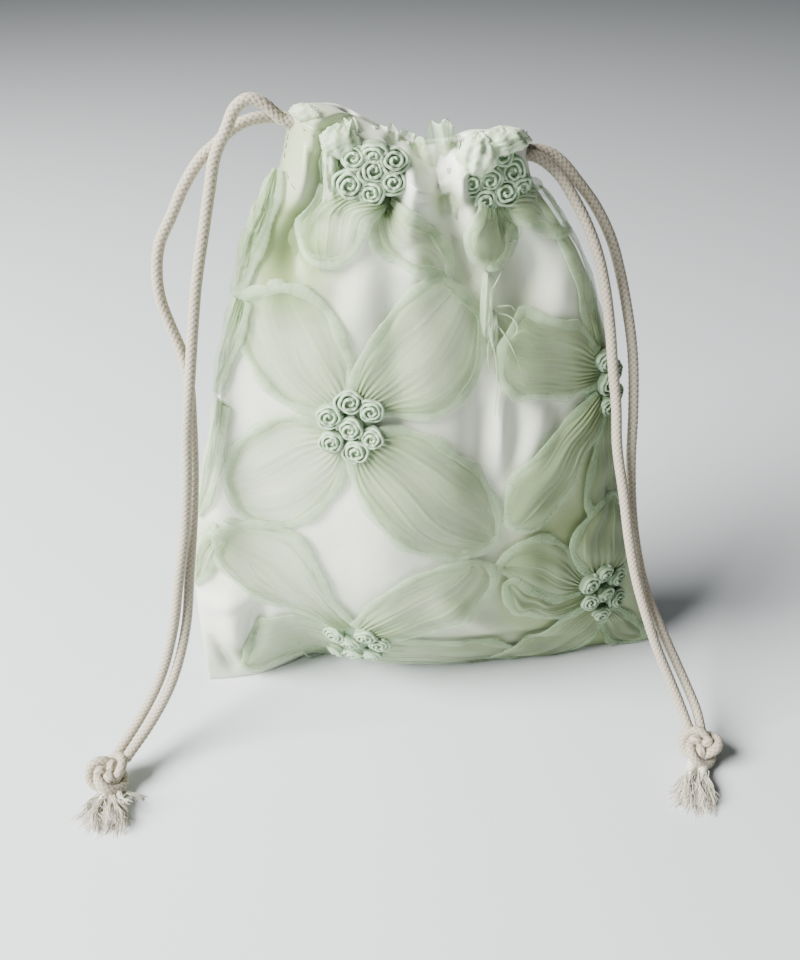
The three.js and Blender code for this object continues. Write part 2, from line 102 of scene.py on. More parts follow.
def studio_sky():
    world = bpy.data.worlds.new("studio_sky")
    world.use_nodes = True
    nodes, links = world.node_tree.nodes, world.node_tree.links
    way = nodes.new("ShaderNodeTexCoord").outputs["Generated"]
    facing = nodes.new("ShaderNodeVectorMath")
    facing.operation = "DOT_PRODUCT"
    facing.inputs[1].default_value = sky_side
    ramp = nodes.new("ShaderNodeValToRGB")
    ramp.color_ramp.elements[0].color = sky_dark
    ramp.color_ramp.elements[1].position = sky_pale_from
    ramp.color_ramp.elements[1].color = sky_pale
    links.new(way, facing.inputs[0])
    links.new(facing.outputs["Value"], ramp.inputs["Fac"])
    links.new(ramp.outputs["Color"], nodes["Background"].inputs["Color"])
    nodes["Background"].inputs["Strength"].default_value = sky_strength
    bpy.context.scene.world = world


plain_floor()
camera_stand()
studio_sky()
window_light()

# The drawcords: two braided cotton cords of 4 mm. Each runs round the casing, comes out of the slit
# in one side seam as two strands, and the strands hang to a knot on the surface.
cord_diameter = 4.0
cord_radius = cord_diameter / 2
cord_step = 0.42
cord_sides = 32
curve_steps = 14
plaits = 5
plait_pitch = 10.0
plait_relief = 0.36
plait_fullness = 0.6
plait_over = 0.3
cord_colour = (0.50, 0.445, 0.35, 1)
# The painted shade in the braid's grooves.
cord_groove_shade = (0.28, 0.245, 0.18, 1)
combed_colour = (0.80, 0.76, 0.65, 1)
strands = {
    "cord_left_front": [
        (-48.9, -2.3, 235.5), (-53, -2.4, 236), (-56, -2.7, 238.5), (-59.5, -3, 241.5), (-63.5, -3, 242.5),
        (-67.5, -3, 240), (-71, -3, 233.5), (-75, -3, 226), (-78, -4, 215), (-81, -5, 203), (-85, -7, 187),
        (-88, -9, 171), (-91, -12, 153), (-94, -15, 135), (-96, -18, 117), (-99, -21, 97), (-103, -25, 79),
        (-108, -29, 56), (-115, -33, 36), (-124, -38, 21), (-134.6, -47.4, 10)],
    "cord_left_back": [
        (-48.9, 2.3, 235.5), (-53, 2.4, 235.6), (-58, 2.8, 235.8), (-64, 3, 235), (-69.5, 2.5, 232.5),
        (-74.5, 2, 228.5), (-80, 1.5, 224), (-86, 1, 216), (-91, 0, 207), (-96, -1, 198), (-98, -2, 189),
        (-98, -3, 180), (-96, -4, 171), (-93.5, -5, 162), (-92, -6.5, 152), (-92.5, -10, 135),
        (-94, -13, 116), (-96.5, -16.7, 96), (-99.5, -21.8, 78), (-103.4, -27.6, 55), (-110.6, -34, 34.4),
        (-119.9, -39.8, 19.5), (-130.8, -49.8, 9.8)],
    "cord_right_outer": [
        (22.7, 2.3, 222.8), (27, 2.4, 223.2), (31, 2.5, 223), (35, 2.5, 221.5), (39, 2, 218.5), (44, 1, 213),
        (51, 0, 204.5), (57, -2, 194), (61, -4, 183), (65, -8, 167), (68, -11, 151), (69, -16, 132),
        (69, -21, 113), (70, -27, 94), (73, -32, 76), (77, -37, 61), (82, -42, 49), (88, -47, 36),
        (93, -53, 25), (96.3, -60, 16.5), (97, -66, 10.5)],
    "cord_right_inner": [
        (22.7, -2.3, 222.8), (27, -2.6, 222.6), (31, -3.5, 220.8), (36, -5, 216.5), (41, -6.5, 209.5),
        (46, -8, 201), (50.5, -9.5, 191), (54, -11, 179.5), (57, -13, 165), (59, -16, 150), (61, -19, 136),
        (62, -23, 121), (65, -28.5, 103), (67.5, -34, 86), (71, -38.5, 70), (75.5, -43.5, 55),
        (80, -48, 42), (85.5, -53.5, 29), (89.5, -59.5, 19), (92, -66, 11.5)],
}


def eased(points, step):
    """Even steps along a centripetal curve through given points"""
    points = np.array(points, float)
    run = np.vstack([2 * points[0] - points[1], points, 2 * points[-1] - points[-2]])
    at = np.concatenate([[0], np.cumsum(np.sqrt(np.linalg.norm(np.diff(run, axis=0), axis=1)))])
    fine = []
    for i in range(1, len(run) - 2):
        t = np.linspace(at[i], at[i + 1], curve_steps, endpoint=False)[:, None]
        level = [run[i - 1], run[i], run[i + 1], run[i + 2]]
        for width in (1, 2, 3):
            lower = []
            for k in range(len(level) - 1):
                first, last = (at[i], at[i + 1]) if width == 3 else (at[i - 1 + k], at[i - 1 + k + width])
                share = (t - first) / (last - first)
                lower.append((1 - share) * level[k] + share * level[k + 1])
            level = lower
        fine.append(level[0])
    fine = np.vstack(fine + [points[-1:]])
    length = np.concatenate([[0], np.cumsum(np.linalg.norm(np.diff(fine, axis=0), axis=1))])
    even = np.linspace(0, length[-1], max(4, round(length[-1] / step)) + 1)
    return np.stack([np.interp(even, length, fine[:, k]) for k in range(3)], axis=1)


def carried_frames(route, closed=False):
    """The way along a route, and two ways square to it that don't twist"""
    around = np.roll(route, -1, axis=0) - np.roll(route, 1, axis=0)
    along = around if closed else np.gradient(route, axis=0)
    along /= np.linalg.norm(along, axis=1)[:, None]
    start = np.array([0, 0, 1.0]) if abs(along[0][2]) < 0.8 else np.array([1.0, 0, 0])
    side = np.empty_like(route)
    side[0] = np.cross(along[0], start)
    side[0] /= np.linalg.norm(side[0])
    for i in range(1, len(route)):
        side[i] = side[i - 1] - along[i] * np.dot(side[i - 1], along[i])
        side[i] /= np.linalg.norm(side[i])
    if closed:
        gap = side[-1] - along[0] * np.dot(side[-1], along[0])
        turn = math.atan2(np.dot(gap, np.cross(along[0], side[0])), np.dot(gap, side[0]))
        back = -turn * np.arange(len(route)) / len(route)
        side = side * np.cos(back)[:, None] + np.cross(along, side) * np.sin(back)[:, None]
    return along, side, np.cross(along, side)


def tube_faces(rows, columns, closed=False):
    """Faces between rings of points, with a lid on both ends or back to the first ring"""
    faces = []
    for j in range(rows if closed else rows - 1):
        here = j * columns
        above = ((j + 1) % rows) * columns
        for i in range(columns):
            after = (i + 1) % columns
            faces.append((here + i, here + after, above + after, above + i))
    if not closed:
        faces.append(tuple(range(columns - 1, -1, -1)))
        faces.append(tuple((rows - 1) * columns + i for i in range(columns)))
    return faces


def braided(route, radius, closed=False):
    """Points, faces and relief of a braided cord along a route"""
    along, side, rise = carried_frames(route, closed)
    steps = np.linalg.norm(np.diff(route, axis=0), axis=1)
    run = np.concatenate([[0], np.cumsum(steps)])[:, None]
    if closed:
        whole = run[-1] + np.linalg.norm(route[0] - route[-1])
        run = run * max(1, round(float(whole[0]) / plait_pitch)) * plait_pitch / whole
    angle = (np.arange(cord_sides) * 2 * math.pi / cord_sides)[None, :]
    forth = plaits * (angle + 2 * math.pi * run / plait_pitch)
    back = plaits * (angle - 2 * math.pi * run / plait_pitch)
    turn = np.cos(plaits * angle)
    one = (0.5 + 0.5 * np.cos(forth)) ** plait_fullness * (1 - plait_over + plait_over * turn)
    other = (0.5 + 0.5 * np.cos(back)) ** plait_fullness * (1 - plait_over - plait_over * turn)
    relief = np.maximum(one, other)
    reach = radius - plait_relief + plait_relief * relief
    points = (route[:, None, :] + (side[:, None, :] * np.cos(angle)[..., None]
              + rise[:, None, :] * np.sin(angle)[..., None]) * reach[..., None])
    return points.reshape(-1, 3), tube_faces(len(route), cord_sides, closed), relief.ravel()


def plain_tube(route, radius, sides):
    """Points and faces of a thin thread along a route"""
    along, side, rise = carried_frames(route)
    angle = (np.arange(sides) * 2 * math.pi / sides)[None, :, None]
    ring = side[:, None, :] * np.cos(angle) + rise[:, None, :] * np.sin(angle)
    return (route[:, None, :] + ring * radius).reshape(-1, 3), tube_faces(len(route), sides)


def joined(parts):
    """Several lots of points, faces and relief as one"""
    points, faces, relief = [], [], []
    for part_points, part_faces, part_relief in parts:
        start = sum(len(lot) for lot in points)
        faces += [tuple(start + i for i in face) for face in part_faces]
        points.append(part_points)
        relief.append(part_relief)
    return np.vstack(points), faces, np.concatenate(relief)


def finished(name, points, faces, finish, marks, node=None):
    """A piece of the bag from points in millimetres, with its marks kept on the points. Nothing dips
    under the surface that the bag stands on."""
    points[:, 2] = np.maximum(points[:, 2], 0)
    mesh = bpy.data.meshes.new(name)
    mesh.from_pydata((points / 1000).tolist(), [], faces)
    for mark, values in marks.items():
        kept = mesh.attributes.new(mark, "FLOAT", "POINT").data
        kept.foreach_set("value", np.ascontiguousarray(values, np.float32))
    mesh.materials.append(finish)
    mesh.shade_smooth()
    piece = bpy.data.objects.new(name, mesh)
    bpy.context.collection.objects.link(piece)
    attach(piece, "root")
    if node:
        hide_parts(node)
    return piece


def new_finish(name, colour, roughness, sheen):
    """A cloth finish with a soft sheen"""
    finish = bpy.data.materials.new(name)
    finish.use_nodes = True
    shader = finish.node_tree.nodes["Principled BSDF"]
    shader.inputs["Base Color"].default_value = colour
    shader.inputs["Roughness"].default_value = roughness
    shader.inputs["Sheen Weight"].default_value = sheen
    shader.inputs["Sheen Roughness"].default_value = 0.4
    return finish, finish.node_tree.nodes, finish.node_tree.links, shader


def grain(nodes, links, scale, detail, vector=None):
    """Noise in the bag's own frame"""
    noise = nodes.new("ShaderNodeTexNoise")
    noise.inputs["Scale"].default_value = scale
    noise.inputs["Detail"].default_value = detail
    if vector is None:
        vector = nodes.new("ShaderNodeTexCoord").outputs["Object"]
    links.new(vector, noise.inputs["Vector"])
    return noise.outputs["Fac"]


def bumped(nodes, links, shader, height, strength, depth):
    """Fine relief in the finish"""
    bump = nodes.new("ShaderNodeBump")
    bump.inputs["Strength"].default_value = strength
    bump.inputs["Distance"].default_value = depth
    links.new(height, bump.inputs["Height"])
    links.new(bump.outputs["Normal"], shader.inputs["Normal"])


def blended(nodes, links, share, first, second, low=0.0, high=1.0):
    """A colour between two, as a share goes from low to high"""
    ramp = nodes.new("ShaderNodeValToRGB")
    for stop, colour, at in zip(ramp.color_ramp.elements, (first, second), (low, high)):
        stop.color = colour
        stop.position = at
    links.new(share, ramp.inputs["Fac"])
    return ramp.outputs["Color"]


def mark_of(nodes, name):
    """A mark that the piece keeps on its points"""
    mark = nodes.new("ShaderNodeAttribute")
    mark.attribute_name = name
    return mark.outputs["Fac"]


def cotton(name, groove, colour):
    """Matt cotton with a fine fuzz, blended by its relief mark from a darker colour to its own: painted shade
    in a braid's grooves, and a tone that differs from fibre to fibre in the combed ends
    """
    finish, nodes, links, shader = new_finish(name, colour, roughness=0.85, sheen=0.3)
    shade = blended(nodes, links, mark_of(nodes, "relief"), groove, colour, low=0.25, high=0.75)
    links.new(shade, shader.inputs["Base Color"])
    bumped(nodes, links, shader, grain(nodes, links, 2600, 3), strength=0.5, depth=0.0002)
    return finish


cotton_finish = cotton("braided_cotton", cord_groove_shade, cord_colour)
routes = {name: eased(points, cord_step) for name, points in strands.items()}
cords = {}
for name, route in routes.items():
    points, faces, relief = braided(route, cord_radius)
    cords[name] = finished("braided_" + name, points, faces, cotton_finish,
                           {"relief": relief}, name)

# The knots: an overhand knot in each pair of strands, pulled tight, with the doubled cord lying over
# and under itself in three loops. The cut ends below it are combed out into a brush of cotton.
knot_size = 1.75
knot_rise = 3.0
knot_lean = math.radians(24)
knot_height = 5.9
knot_steps = 150
strands_apart = 0.95
neck_height = 4.2
neck_start = 4
knots = {
    "left": {"middle": (-137, -54), "to": (0.05, -1), "turn": 35, "neck": 2, "length": 18, "breadth": 10.5},
    "right": {"middle": (95, -71), "to": (-0.45, -0.89), "turn": -70, "neck": 6, "length": 23, "breadth": 8},
}
yarns = 26
yarn_fibres = 18
fibre_radius = 0.15
fibre_sides = 3
fibre_stray = 0.45
fibre_wave = 0.3
fibre_lowest = 0.02
yarn_fan = 0.45
yarn_lean = 0.5
yarn_curl = (0.5, 1.6)
yarn_shortest = 0.6


def knot_axes(knot):
    """The way the loose ends point, the way across it, and straight up"""
    to = np.array([*knot["to"], 0.0])
    to /= np.linalg.norm(to)
    return to, np.array([-to[1], to[0], 0]), np.array([0, 0, 1.0])


def knot_parts(knot):
    """Both strands of the doubled cord, side by side round the three loops of the knot"""
    to, across, up = knot_axes(knot)
    t = np.linspace(0, 2 * math.pi, knot_steps, endpoint=False)
    turn = math.radians(knot["turn"])
    lean = math.cos(knot_lean), math.sin(knot_lean)
    parts = []
    for apart in (-strands_apart, strands_apart):
        x = np.sin(t) + 2 * np.sin(2 * t)
        y = np.cos(t) - 2 * np.cos(2 * t)
        dx, dy = np.cos(t) + 4 * np.cos(2 * t), -np.sin(t) + 4 * np.sin(2 * t)
        pace = np.hypot(dx, dy)
        x = knot_size * x + apart * cord_radius * dy / pace
        y = knot_size * y - apart * cord_radius * dx / pace
        z = -knot_rise * np.sin(3 * t)
        x, y = x * math.cos(turn) - y * math.sin(turn), x * math.sin(turn) + y * math.cos(turn)
        local = np.stack([y * lean[0] + z * lean[1], x, z * lean[0] - y * lean[1]], axis=1)
        route = np.array([*knot["middle"], 0.0]) + local @ np.stack([to, across, up])
        route[:, 2] += cord_radius + knot_height
        route[:, 2] = np.maximum(route[:, 2], cord_radius + 0.2)
        parts.append(braided(route, cord_radius, closed=True))
    return joined(parts)


def neck_parts(knot):
    """The two strands that come out of the knot, up to where they are combed"""
    to, across, up = knot_axes(knot)
    start = np.array([*knot["middle"], neck_height]) + to * neck_start
    parts = []
    for apart in (-1, 1):
        neck = [start - neck_start * to + apart * 1.6 * across, start + apart * 1.9 * across,
                start + (knot["neck"] + 3) * to + apart * 2.2 * across - up]
        parts.append(braided(eased(neck, cord_step), cord_radius))
    return parts


def brush_parts(knot, draw):
    """Cut ends: yarns that spread over the surface, each combed out into curly fibres"""
    to, across, up = knot_axes(knot)
    start = np.array([*knot["middle"], neck_height]) + to * neck_start
    share = np.linspace(0, 1, 10)[:, None]
    parts = []
    for i in range(yarns):
        apart = 1 if i % 2 else -1
        fan, lean = draw.normal(0, yarn_fan), draw.normal(0, yarn_lean)
        reach = (knot["length"] - knot["neck"]) * draw.uniform(yarn_shortest, 1.0)
        root = start + (knot["neck"] + draw.uniform(-1, 2.5)) * to + apart * 1.9 * across
        root = root + across * draw.normal(0, 0.7) + up * draw.normal(-0.4, 0.8)
        swirl, curl = draw.uniform(0, 2 * math.pi), draw.uniform(*yarn_curl)
        yarn = root + to * reach * share * math.cos(min(abs(fan), 1.3))
        yarn = yarn + across * (knot["breadth"] * 0.62 * (fan + 0.3 * apart) * share ** 0.8)
        yarn = yarn + up * (lean * 5 * share - 2.0 * share ** 2)
        yarn = yarn + across * curl * np.sin(share * 6 + swirl) * share
        yarn = yarn + up * curl * np.cos(share * 5 + swirl) * share
        for _ in range(yarn_fibres):
            stray = draw.normal(0, fibre_stray, 3) + draw.normal(0, 1.0, 3) * share ** 1.5
            wave = np.sin(share * draw.uniform(9, 16) + draw.uniform(0, 6))
            wave = fibre_wave * wave * draw.normal(0, 1, 3)
            path = yarn + stray + wave * share
            path[:, 2] = np.maximum(path[:, 2], fibre_radius)
            points, faces = plain_tube(path, fibre_radius * (1 - 0.5 * share)[:, :, None], fibre_sides)
            points[:, 2] = np.maximum(points[:, 2], fibre_lowest)
            parts.append((points, faces, np.full(len(points), draw.uniform(0.3, 1.0))))
    return joined(neck_parts(knot) + parts)


combed_finish = cotton("combed_cotton", cord_colour, combed_colour)
draw = np.random.default_rng(7)
for side, knot in knots.items():
    points, faces, relief = knot_parts(knot)
    knotted = finished("tied_knot_" + side, points, faces, cotton_finish,
                       {"relief": relief}, "knot_" + side)
    points, faces, relief = brush_parts(knot, draw)
    brush = finished("combed_end_" + side, points, faces, combed_finish,
                     {"relief": relief}, "frayed_end_" + side)
    for name in [name for name in cords if side in name]:
        route = routes[name] / 1000

# The pouch: two panels of ivory satin sewn at the sides and the foot, lightly filled, and turned in
# at the top to a casing, where the drawcords gather it into soft upright folds.
half_width = 101.5
height = 240.0
fullness = 29.0
casing_drop = 9.0
casing_height = 28.0
satin_cloth = 1.8
hem_depth = 9.0
gathers = 5
gather_depth = 3.4
gather_start = 0.6
dip_start = 0.88
# Where the mouth's edge sinks between the seams: the middle and half breadth as shares across, and
# the depth in millimetres.
mouth_dips = {"front": [(0.12, 0.34, 17.0), (-0.45, 0.3, 6.0), (0.6, 0.2, 4.0)],
              "back": [(0.1, 0.6, 19.0)]}
satin_colour = (0.86, 0.885, 0.79, 1)
satin_shade = (0.80, 0.835, 0.71, 1)
# The dark green of the organza over the satin, which also paints shade into it.
veil_and_shade_colour = (0.27, 0.35, 0.15, 1)
crumple_depth = 14
satin_columns = 150
satin_rows = 190
lip_rows = 9
hem_rows = 8
inside_rows = 24
fold_strength = 1.3
back_folds = 0.8
casing_fold = 1.8
casing_crease = 1.2
casing_from = 0.93
casing_over = 0.03
back_scale = 0.8
back_shift = 12
# The pouch's cross-sections from foot to top: the height and each side's half width as shares, the
# fullness in front and behind, and how square the outline is.
section_columns = ("at", "left", "right", "front", "back", "curve")
sections = np.array([
    (0.000, 1.000, 1.000, 0.06, 0.66, 0.80),
    (0.014, 1.000, 0.992, 0.14, 0.76, 0.80),
    (0.039, 1.000, 0.975, 0.30, 0.88, 0.80),
    (0.103, 1.000, 0.930, 0.64, 1.02, 0.80),
    (0.187, 1.000, 0.865, 0.91, 1.08, 0.80),
    (0.270, 0.990, 0.810, 1.00, 1.08, 0.80),
    (0.374, 0.945, 0.750, 0.97, 1.03, 0.80),
    (0.501, 0.860, 0.690, 0.92, 0.96, 0.78),
    (0.629, 0.795, 0.620, 0.82, 0.84, 0.74),
    (0.742, 0.735, 0.525, 0.68, 0.70, 0.66),
    (0.811, 0.680, 0.450, 0.55, 0.57, 0.56),
    (0.865, 0.620, 0.365, 0.47, 0.49, 0.46),
    (0.924, 0.545, 0.275, 0.44, 0.45, 0.44),
    (1.000, 0.500, 0.240, 0.44, 0.45, 0.44),
])
# Wide dents of the front: where each starts at the foot and ends at the head, its width, its depth as
# a share of the fullness, and the heights between which it lies.
hollows = [(-0.50, -0.66, 0.20, 0.45, -0.30, 0.34), (0.34, 0.22, 0.12, 0.14, 0.15, 0.85),
           (-0.05, -0.20, 0.10, 0.09, 0.45, 0.95)]
# Folds of the satin on the front: each runs from one pixel of the photograph to another, with its half
# breadth in millimetres, and its height, which is below nought for a crease.
seen_folds = [
    (422, 168, 428, 226, 4.6, 4.6), (441, 166, 448, 218, 2.8, -4.2), (448, 214, 474, 292, 3.2, -4.2),
    (388, 196, 384, 216, 2.6, -4.6), (456, 170, 459, 205, 2.4, 3.2), (467, 205, 480, 262, 4.0, 3.0),
    (386, 226, 352, 345, 13.0, 3.4), (466, 250, 496, 350, 4.5, -3.2), (497, 396, 501, 478, 4.2, 3.2),
    (480, 384, 476, 486, 4.2, -2.8), (517, 400, 510, 486, 3.8, -2.2), (566, 232, 564, 326, 8.0, 5.0),
    (526, 242, 524, 330, 6.5, -4.0), (293, 214, 300, 286, 7.5, -5.0), (318, 228, 306, 286, 4.0, 2.2),
    (201, 602, 256, 596, 4.5, 3.2), (214, 638, 236, 672, 3.2, -4.2), (260, 606, 246, 662, 4.0, -6.0),
    (226, 606, 238, 650, 6.5, 4.6), (380, 492, 388, 604, 17.0, 2.6), (236, 372, 262, 448, 9.0, 2.2),
    (205, 562, 250, 588, 3.4, -3.4), (548, 400, 524, 470, 5.0, 2.0), (545, 396, 566, 420, 4.0, -1.8),
    (440, 600, 500, 632, 5.0, 2.4), (470, 640, 590, 628, 4.0, -2.4), (560, 470, 545, 540, 5.0, -2.0),
    (610, 440, 604, 540, 4.5, -3.0), (590, 620, 630, 640, 3.5, -2.2), (620, 520, 628, 610, 5.0, 2.0),
    (345, 260, 330, 330, 5.0, -1.8), (410, 250, 425, 275, 4.0, 1.8), (300, 150, 296, 200, 4.2, 2.2),
    (312, 130, 322, 182, 2.6, -2.6), (278, 180, 268, 210, 3.0, 1.8), (505, 205, 512, 240, 3.0, -3.0),
    (540, 200, 560, 236, 4.5, 2.4), (236, 330, 224, 400, 3.5, -2.0), (222, 440, 206, 560, 3.5, 1.8),
]


def read(column, at):
    """Smooth reading between the rows of the sections"""
    places = sections[:, 0]
    values = sections[:, section_columns.index(column)]
    slopes = np.empty(len(places))
    slopes[1:-1] = (values[2:] - values[:-2]) / (places[2:] - places[:-2])
    slopes[0] = (values[1] - values[0]) / (places[1] - places[0])
    slopes[-1] = (values[-1] - values[-2]) / (places[-1] - places[-2])
    at = np.clip(at, 0, 1)
    i = np.clip(np.searchsorted(places, at, side="left") - 1, 0, len(places) - 2)
    step = places[i + 1] - places[i]
    t = (at - places[i]) / step
    return ((2 * t ** 3 - 3 * t ** 2 + 1) * values[i] + (t ** 3 - 2 * t ** 2 + t) * step * slopes[i]
            + (3 * t ** 2 - 2 * t ** 3) * values[i + 1] + (t ** 3 - t ** 2) * step * slopes[i + 1])


def hollow_depth(across, up):
    """How far the wide dents sink into the front"""
    depth = np.zeros_like(across)
    for foot, head, width, deep, low, high in hollows:
        span = np.clip((up - low) / (high - low), 0, 1)
        middle = foot + (head - foot) * up
        depth += deep * np.exp(-((across - middle) / width) ** 2) * np.sin(math.pi * span) ** 2
    return depth * fullness


def fold_height(x, z):
    """How far the satin's own folds stand out at points of the front view"""
    rise = np.zeros_like(x)
    for x0, z0, x1, z1, breadth, stand in folds:
        dx, dz = x1 - x0, z1 - z0
        length = math.hypot(dx, dz)
        t = ((x - x0) * dx + (z - z0) * dz) / length ** 2
        away = ((x - x0) * dz - (z - z0) * dx) / length
        end = np.maximum(np.maximum(-t, t - 1), 0) * length / breadth
        taper = np.sin(math.pi * np.clip(t * 0.8 + 0.18, 0, 1))
        rise += stand * taper * np.exp(-(away / breadth) ** 2 - end ** 2)
    return fold_strength * rise


def casing_folds(across, up):
    """Upright folds of the casing between the drawcord and the top"""
    start = 1 - casing_height / height
    share = np.clip((up - start + 0.06) / 0.06, 0, 1)
    wave = np.cos(across * 17 + 1.3 * np.sin(across * 7 + 0.8)) + 0.3 * np.cos(across * 25 + 2)
    return casing_fold * share * wave * (1 - across ** 8)


def mouth_dip(face, across, up):
    """How far the mouth's edge sinks between the seams, where the cords draw it in"""
    share = np.clip((up - dip_start) / (1 - dip_start), 0, 1)
    share = share ** 2 * (3 - 2 * share)
    drop = np.zeros_like(across)
    for middle, breadth, depth in mouth_dips[face]:
        drop = drop + depth * np.exp(-((across - middle) / breadth) ** 2)
    return share * drop


def skin(face, across, up, inset=0.0, seam_inset=None, fine=1.0):
    """Points of the pouch: across runs from -1 at the left seam to 1 at the right one, and up is a
    share of the height. The inset goes inwards from the satin's outer face."""
    across, up = np.broadcast_arrays(np.asarray(across, float), np.asarray(up, float))
    seam_inset = inset if seam_inset is None else seam_inset
    level = np.clip(up, 0, 1)
    left = -half_width * read("left", level) + seam_inset
    right = half_width * read("right", level) - seam_inset
    bow = np.maximum(0, 1 - across ** 2) ** read("curve", level)
    depth = (fullness * read(face, level) - inset) * bow
    share = np.maximum(0, (level - gather_start) / (1 - gather_start))
    wave = (1 + np.cos(2 * math.pi * gathers * (across + 0.05) / 2)) / 2
    gather = gather_depth * share ** 1.3 * wave * (1 - across ** 6) * fine
    x = (left + right) / 2 + (right - left) / 2 * across
    z = height * up - casing_drop * (across + 1) / 2 * level ** 3
    gather = gather + casing_folds(across, level) * fine
    z = z - fine * mouth_dip(face, across, level)
    rise = fold_height(x, z) if face == "front" else back_folds * fold_height(-back_scale * x - back_shift, z)
    cased = np.clip((level - casing_from) / casing_over, 0, 1)
    rise = fine * bow ** 0.5 * (np.maximum(rise, -casing_crease) * cased + rise * (1 - cased))
    y = hollow_depth(across, level) - depth - gather - rise if face == "front" else depth + gather + rise
    return np.stack([x, y, z], axis=-1)


def place(x, z):
    """Where points of the front view lie on the pouch"""
    x, z = np.broadcast_arrays(np.asarray(x, float), np.asarray(z, float))
    up = z / height
    across = np.zeros_like(x)
    for _ in range(6):
        level = np.clip(up, 0, 1)
        left = -half_width * read("left", level)
        right = half_width * read("right", level)
        across = np.clip((2 * x - left - right) / (right - left), -0.995, 0.995)
        up = np.maximum(0, (z + casing_drop * (across + 1) / 2 * level ** 3) / height)
    return across, up


def over(x, z, rise, fine=1.0):
    """Points over the front of the pouch, raised square to the cloth"""
    across, up = place(x, z)
    nudge = 0.008
    here = skin("front", across, up, fine=fine)
    side = np.clip(across, -0.98, 0.98)
    right = skin("front", side + nudge, up, fine=fine) - skin("front", side - nudge, up, fine=fine)
    under = skin("front", across, np.maximum(up - nudge, 0), fine=fine)
    above = skin("front", across, up + nudge, fine=fine) - under
    normal = np.cross(right, above)
    normal /= np.linalg.norm(normal, axis=-1)[..., None]
    return here + normal * np.asarray(rise, float)[..., None], normal


def sight():
    """The camera's place in millimetres, the ways ahead of it, to its right and to its top, and how many
    pixels one part in one shows as"""
    turn, tilt = camera_turn, math.pi / 2 - camera_tilt
    ahead = np.array([-math.sin(turn) * math.cos(tilt), math.cos(turn) * math.cos(tilt), -math.sin(tilt)])
    right = np.array([math.cos(turn), math.sin(turn), 0])
    scale = photograph_height * camera_lens / camera_sensor
    return 1000 * np.array(camera_place), ahead, right, np.cross(right, ahead), scale


def in_the_photograph(points):
    """Where points in millimetres show in the photograph, in its pixels"""
    start, ahead, right, top, scale = sight()
    away = points - start
    scale = scale / (away @ ahead)
    x = photograph_width / 2 + scale * (away @ right)
    y = photograph_height / 2 - scale * (away @ top)
    return np.stack([x, y], axis=-1)


# Where the cloth turns edge on and shows under this many square pixels to a panel's breadth and
# height, a pixel no longer gives a place on it.
edge_on = 2000


def on_cloth(pixels):
    """The points of the front view that the photograph shows at these pixels"""
    pixels = np.asarray(pixels, float).reshape(-1, 2)
    nearest = [np.argmin(np.sum((cloth_pixels - pixel) ** 2, axis=1)) for pixel in pixels]
    found = cloth_places[nearest]
    nudge = 0.002
    for _ in range(3):
        here = in_the_photograph(skin("front", found[:, 0], found[:, 1], fine=0.0))
        sideways = in_the_photograph(skin("front", found[:, 0] + nudge, found[:, 1], fine=0.0))
        upwards = in_the_photograph(skin("front", found[:, 0], found[:, 1] + nudge, fine=0.0))
        miss_x, miss_y = (pixels - here).T
        a, b = ((sideways - here) / nudge).T
        c, d = ((upwards - here) / nudge).T
        area = a * d - b * c
        area = np.where(np.abs(area) < edge_on, 1e9, area)
        step = np.stack([miss_x * d - miss_y * c, miss_y * a - miss_x * b], axis=1) / area[:, None]
        found = found + np.clip(step, -0.02, 0.02)
        found[:, 0] = np.clip(found[:, 0], -0.995, 0.995)
        found[:, 1] = np.clip(found[:, 1], 0.004, 1)
    return skin("front", found[:, 0], found[:, 1], fine=0.0)[:, [0, 2]]


# Where the green ground organza tints the satin, and where shade is painted into the satin with the same dark
# green: pixels of the photograph, how far it spreads in millimetres, and how much of the satin's white it
# takes.
seen_veils_and_shade = [
    (292, 244, 13, 1.0), (282, 290, 10, 0.6), (310, 320, 24, 0.35), (500, 330, 14, 0.5), (486, 250, 12, 0.6),
    (520, 560, 26, 0.5), (605, 540, 24, 0.8), (470, 645, 30, 0.5), (605, 625, 26, 0.8), (212, 540, 10, 0.5),
    (218, 664, 13, 0.4), (300, 640, 18, 0.5), (440, 500, 20, 0.2), (608, 450, 11, 0.9), (250, 556, 16, 0.3),
    (388, 206, 5, 0.9), (446, 200, 6, 0.7), (254, 230, 11, 0.5), (560, 590, 28, 0.5), (410, 130, 8, 0.4),
    (355, 632, 16, 0.4), (430, 330, 24, 0.15), (350, 420, 14, 0.3), (520, 350, 16, 0.3), (545, 600, 24, 0.3),
    (300, 142, 20, 0.75), (455, 420, 14, 0.15), (245, 655, 7, 0.5), (560, 490, 14, 0.35), (232, 330, 9, 0.3),
]
veil_everywhere = 0.08
# Painted shade: how much more dark green the lower right of the front takes.
painted_corner_shade = 0.45


def painted_shade_at(x, z, start=15, breadth=60):
    """Where shade is painted in, growing towards the lower right of the front"""
    return np.clip((x - start) / breadth, 0, 1) * np.clip((190 - z) / 50, 0, 1)


def veil_and_shade_share(x, z):
    """How much of the dark green the satin takes: from the organza over it, and as painted shade in the
    shaded spots and over the lower right
    """
    share = np.full_like(x, veil_everywhere)
    for (px, py, spread, strength), (cx, cz) in zip(seen_veils_and_shade, veil_and_shade_places):
        share = share + strength * np.exp(-((x - cx) ** 2 + (z - cz) ** 2) / spread ** 2)
    share = share + painted_corner_shade * painted_shade_at(x, z)
    return np.clip(share, 0, 1)


def covered(nodes, links, share, shade, cover):
    """A colour that another covers by a share"""
    mix = nodes.new("ShaderNodeMix")
    mix.data_type = "RGBA"
    mix.inputs["B"].default_value = cover
    links.new(share, mix.inputs["Factor"])
    links.new(shade, mix.inputs["A"])
    return mix.outputs["Result"]


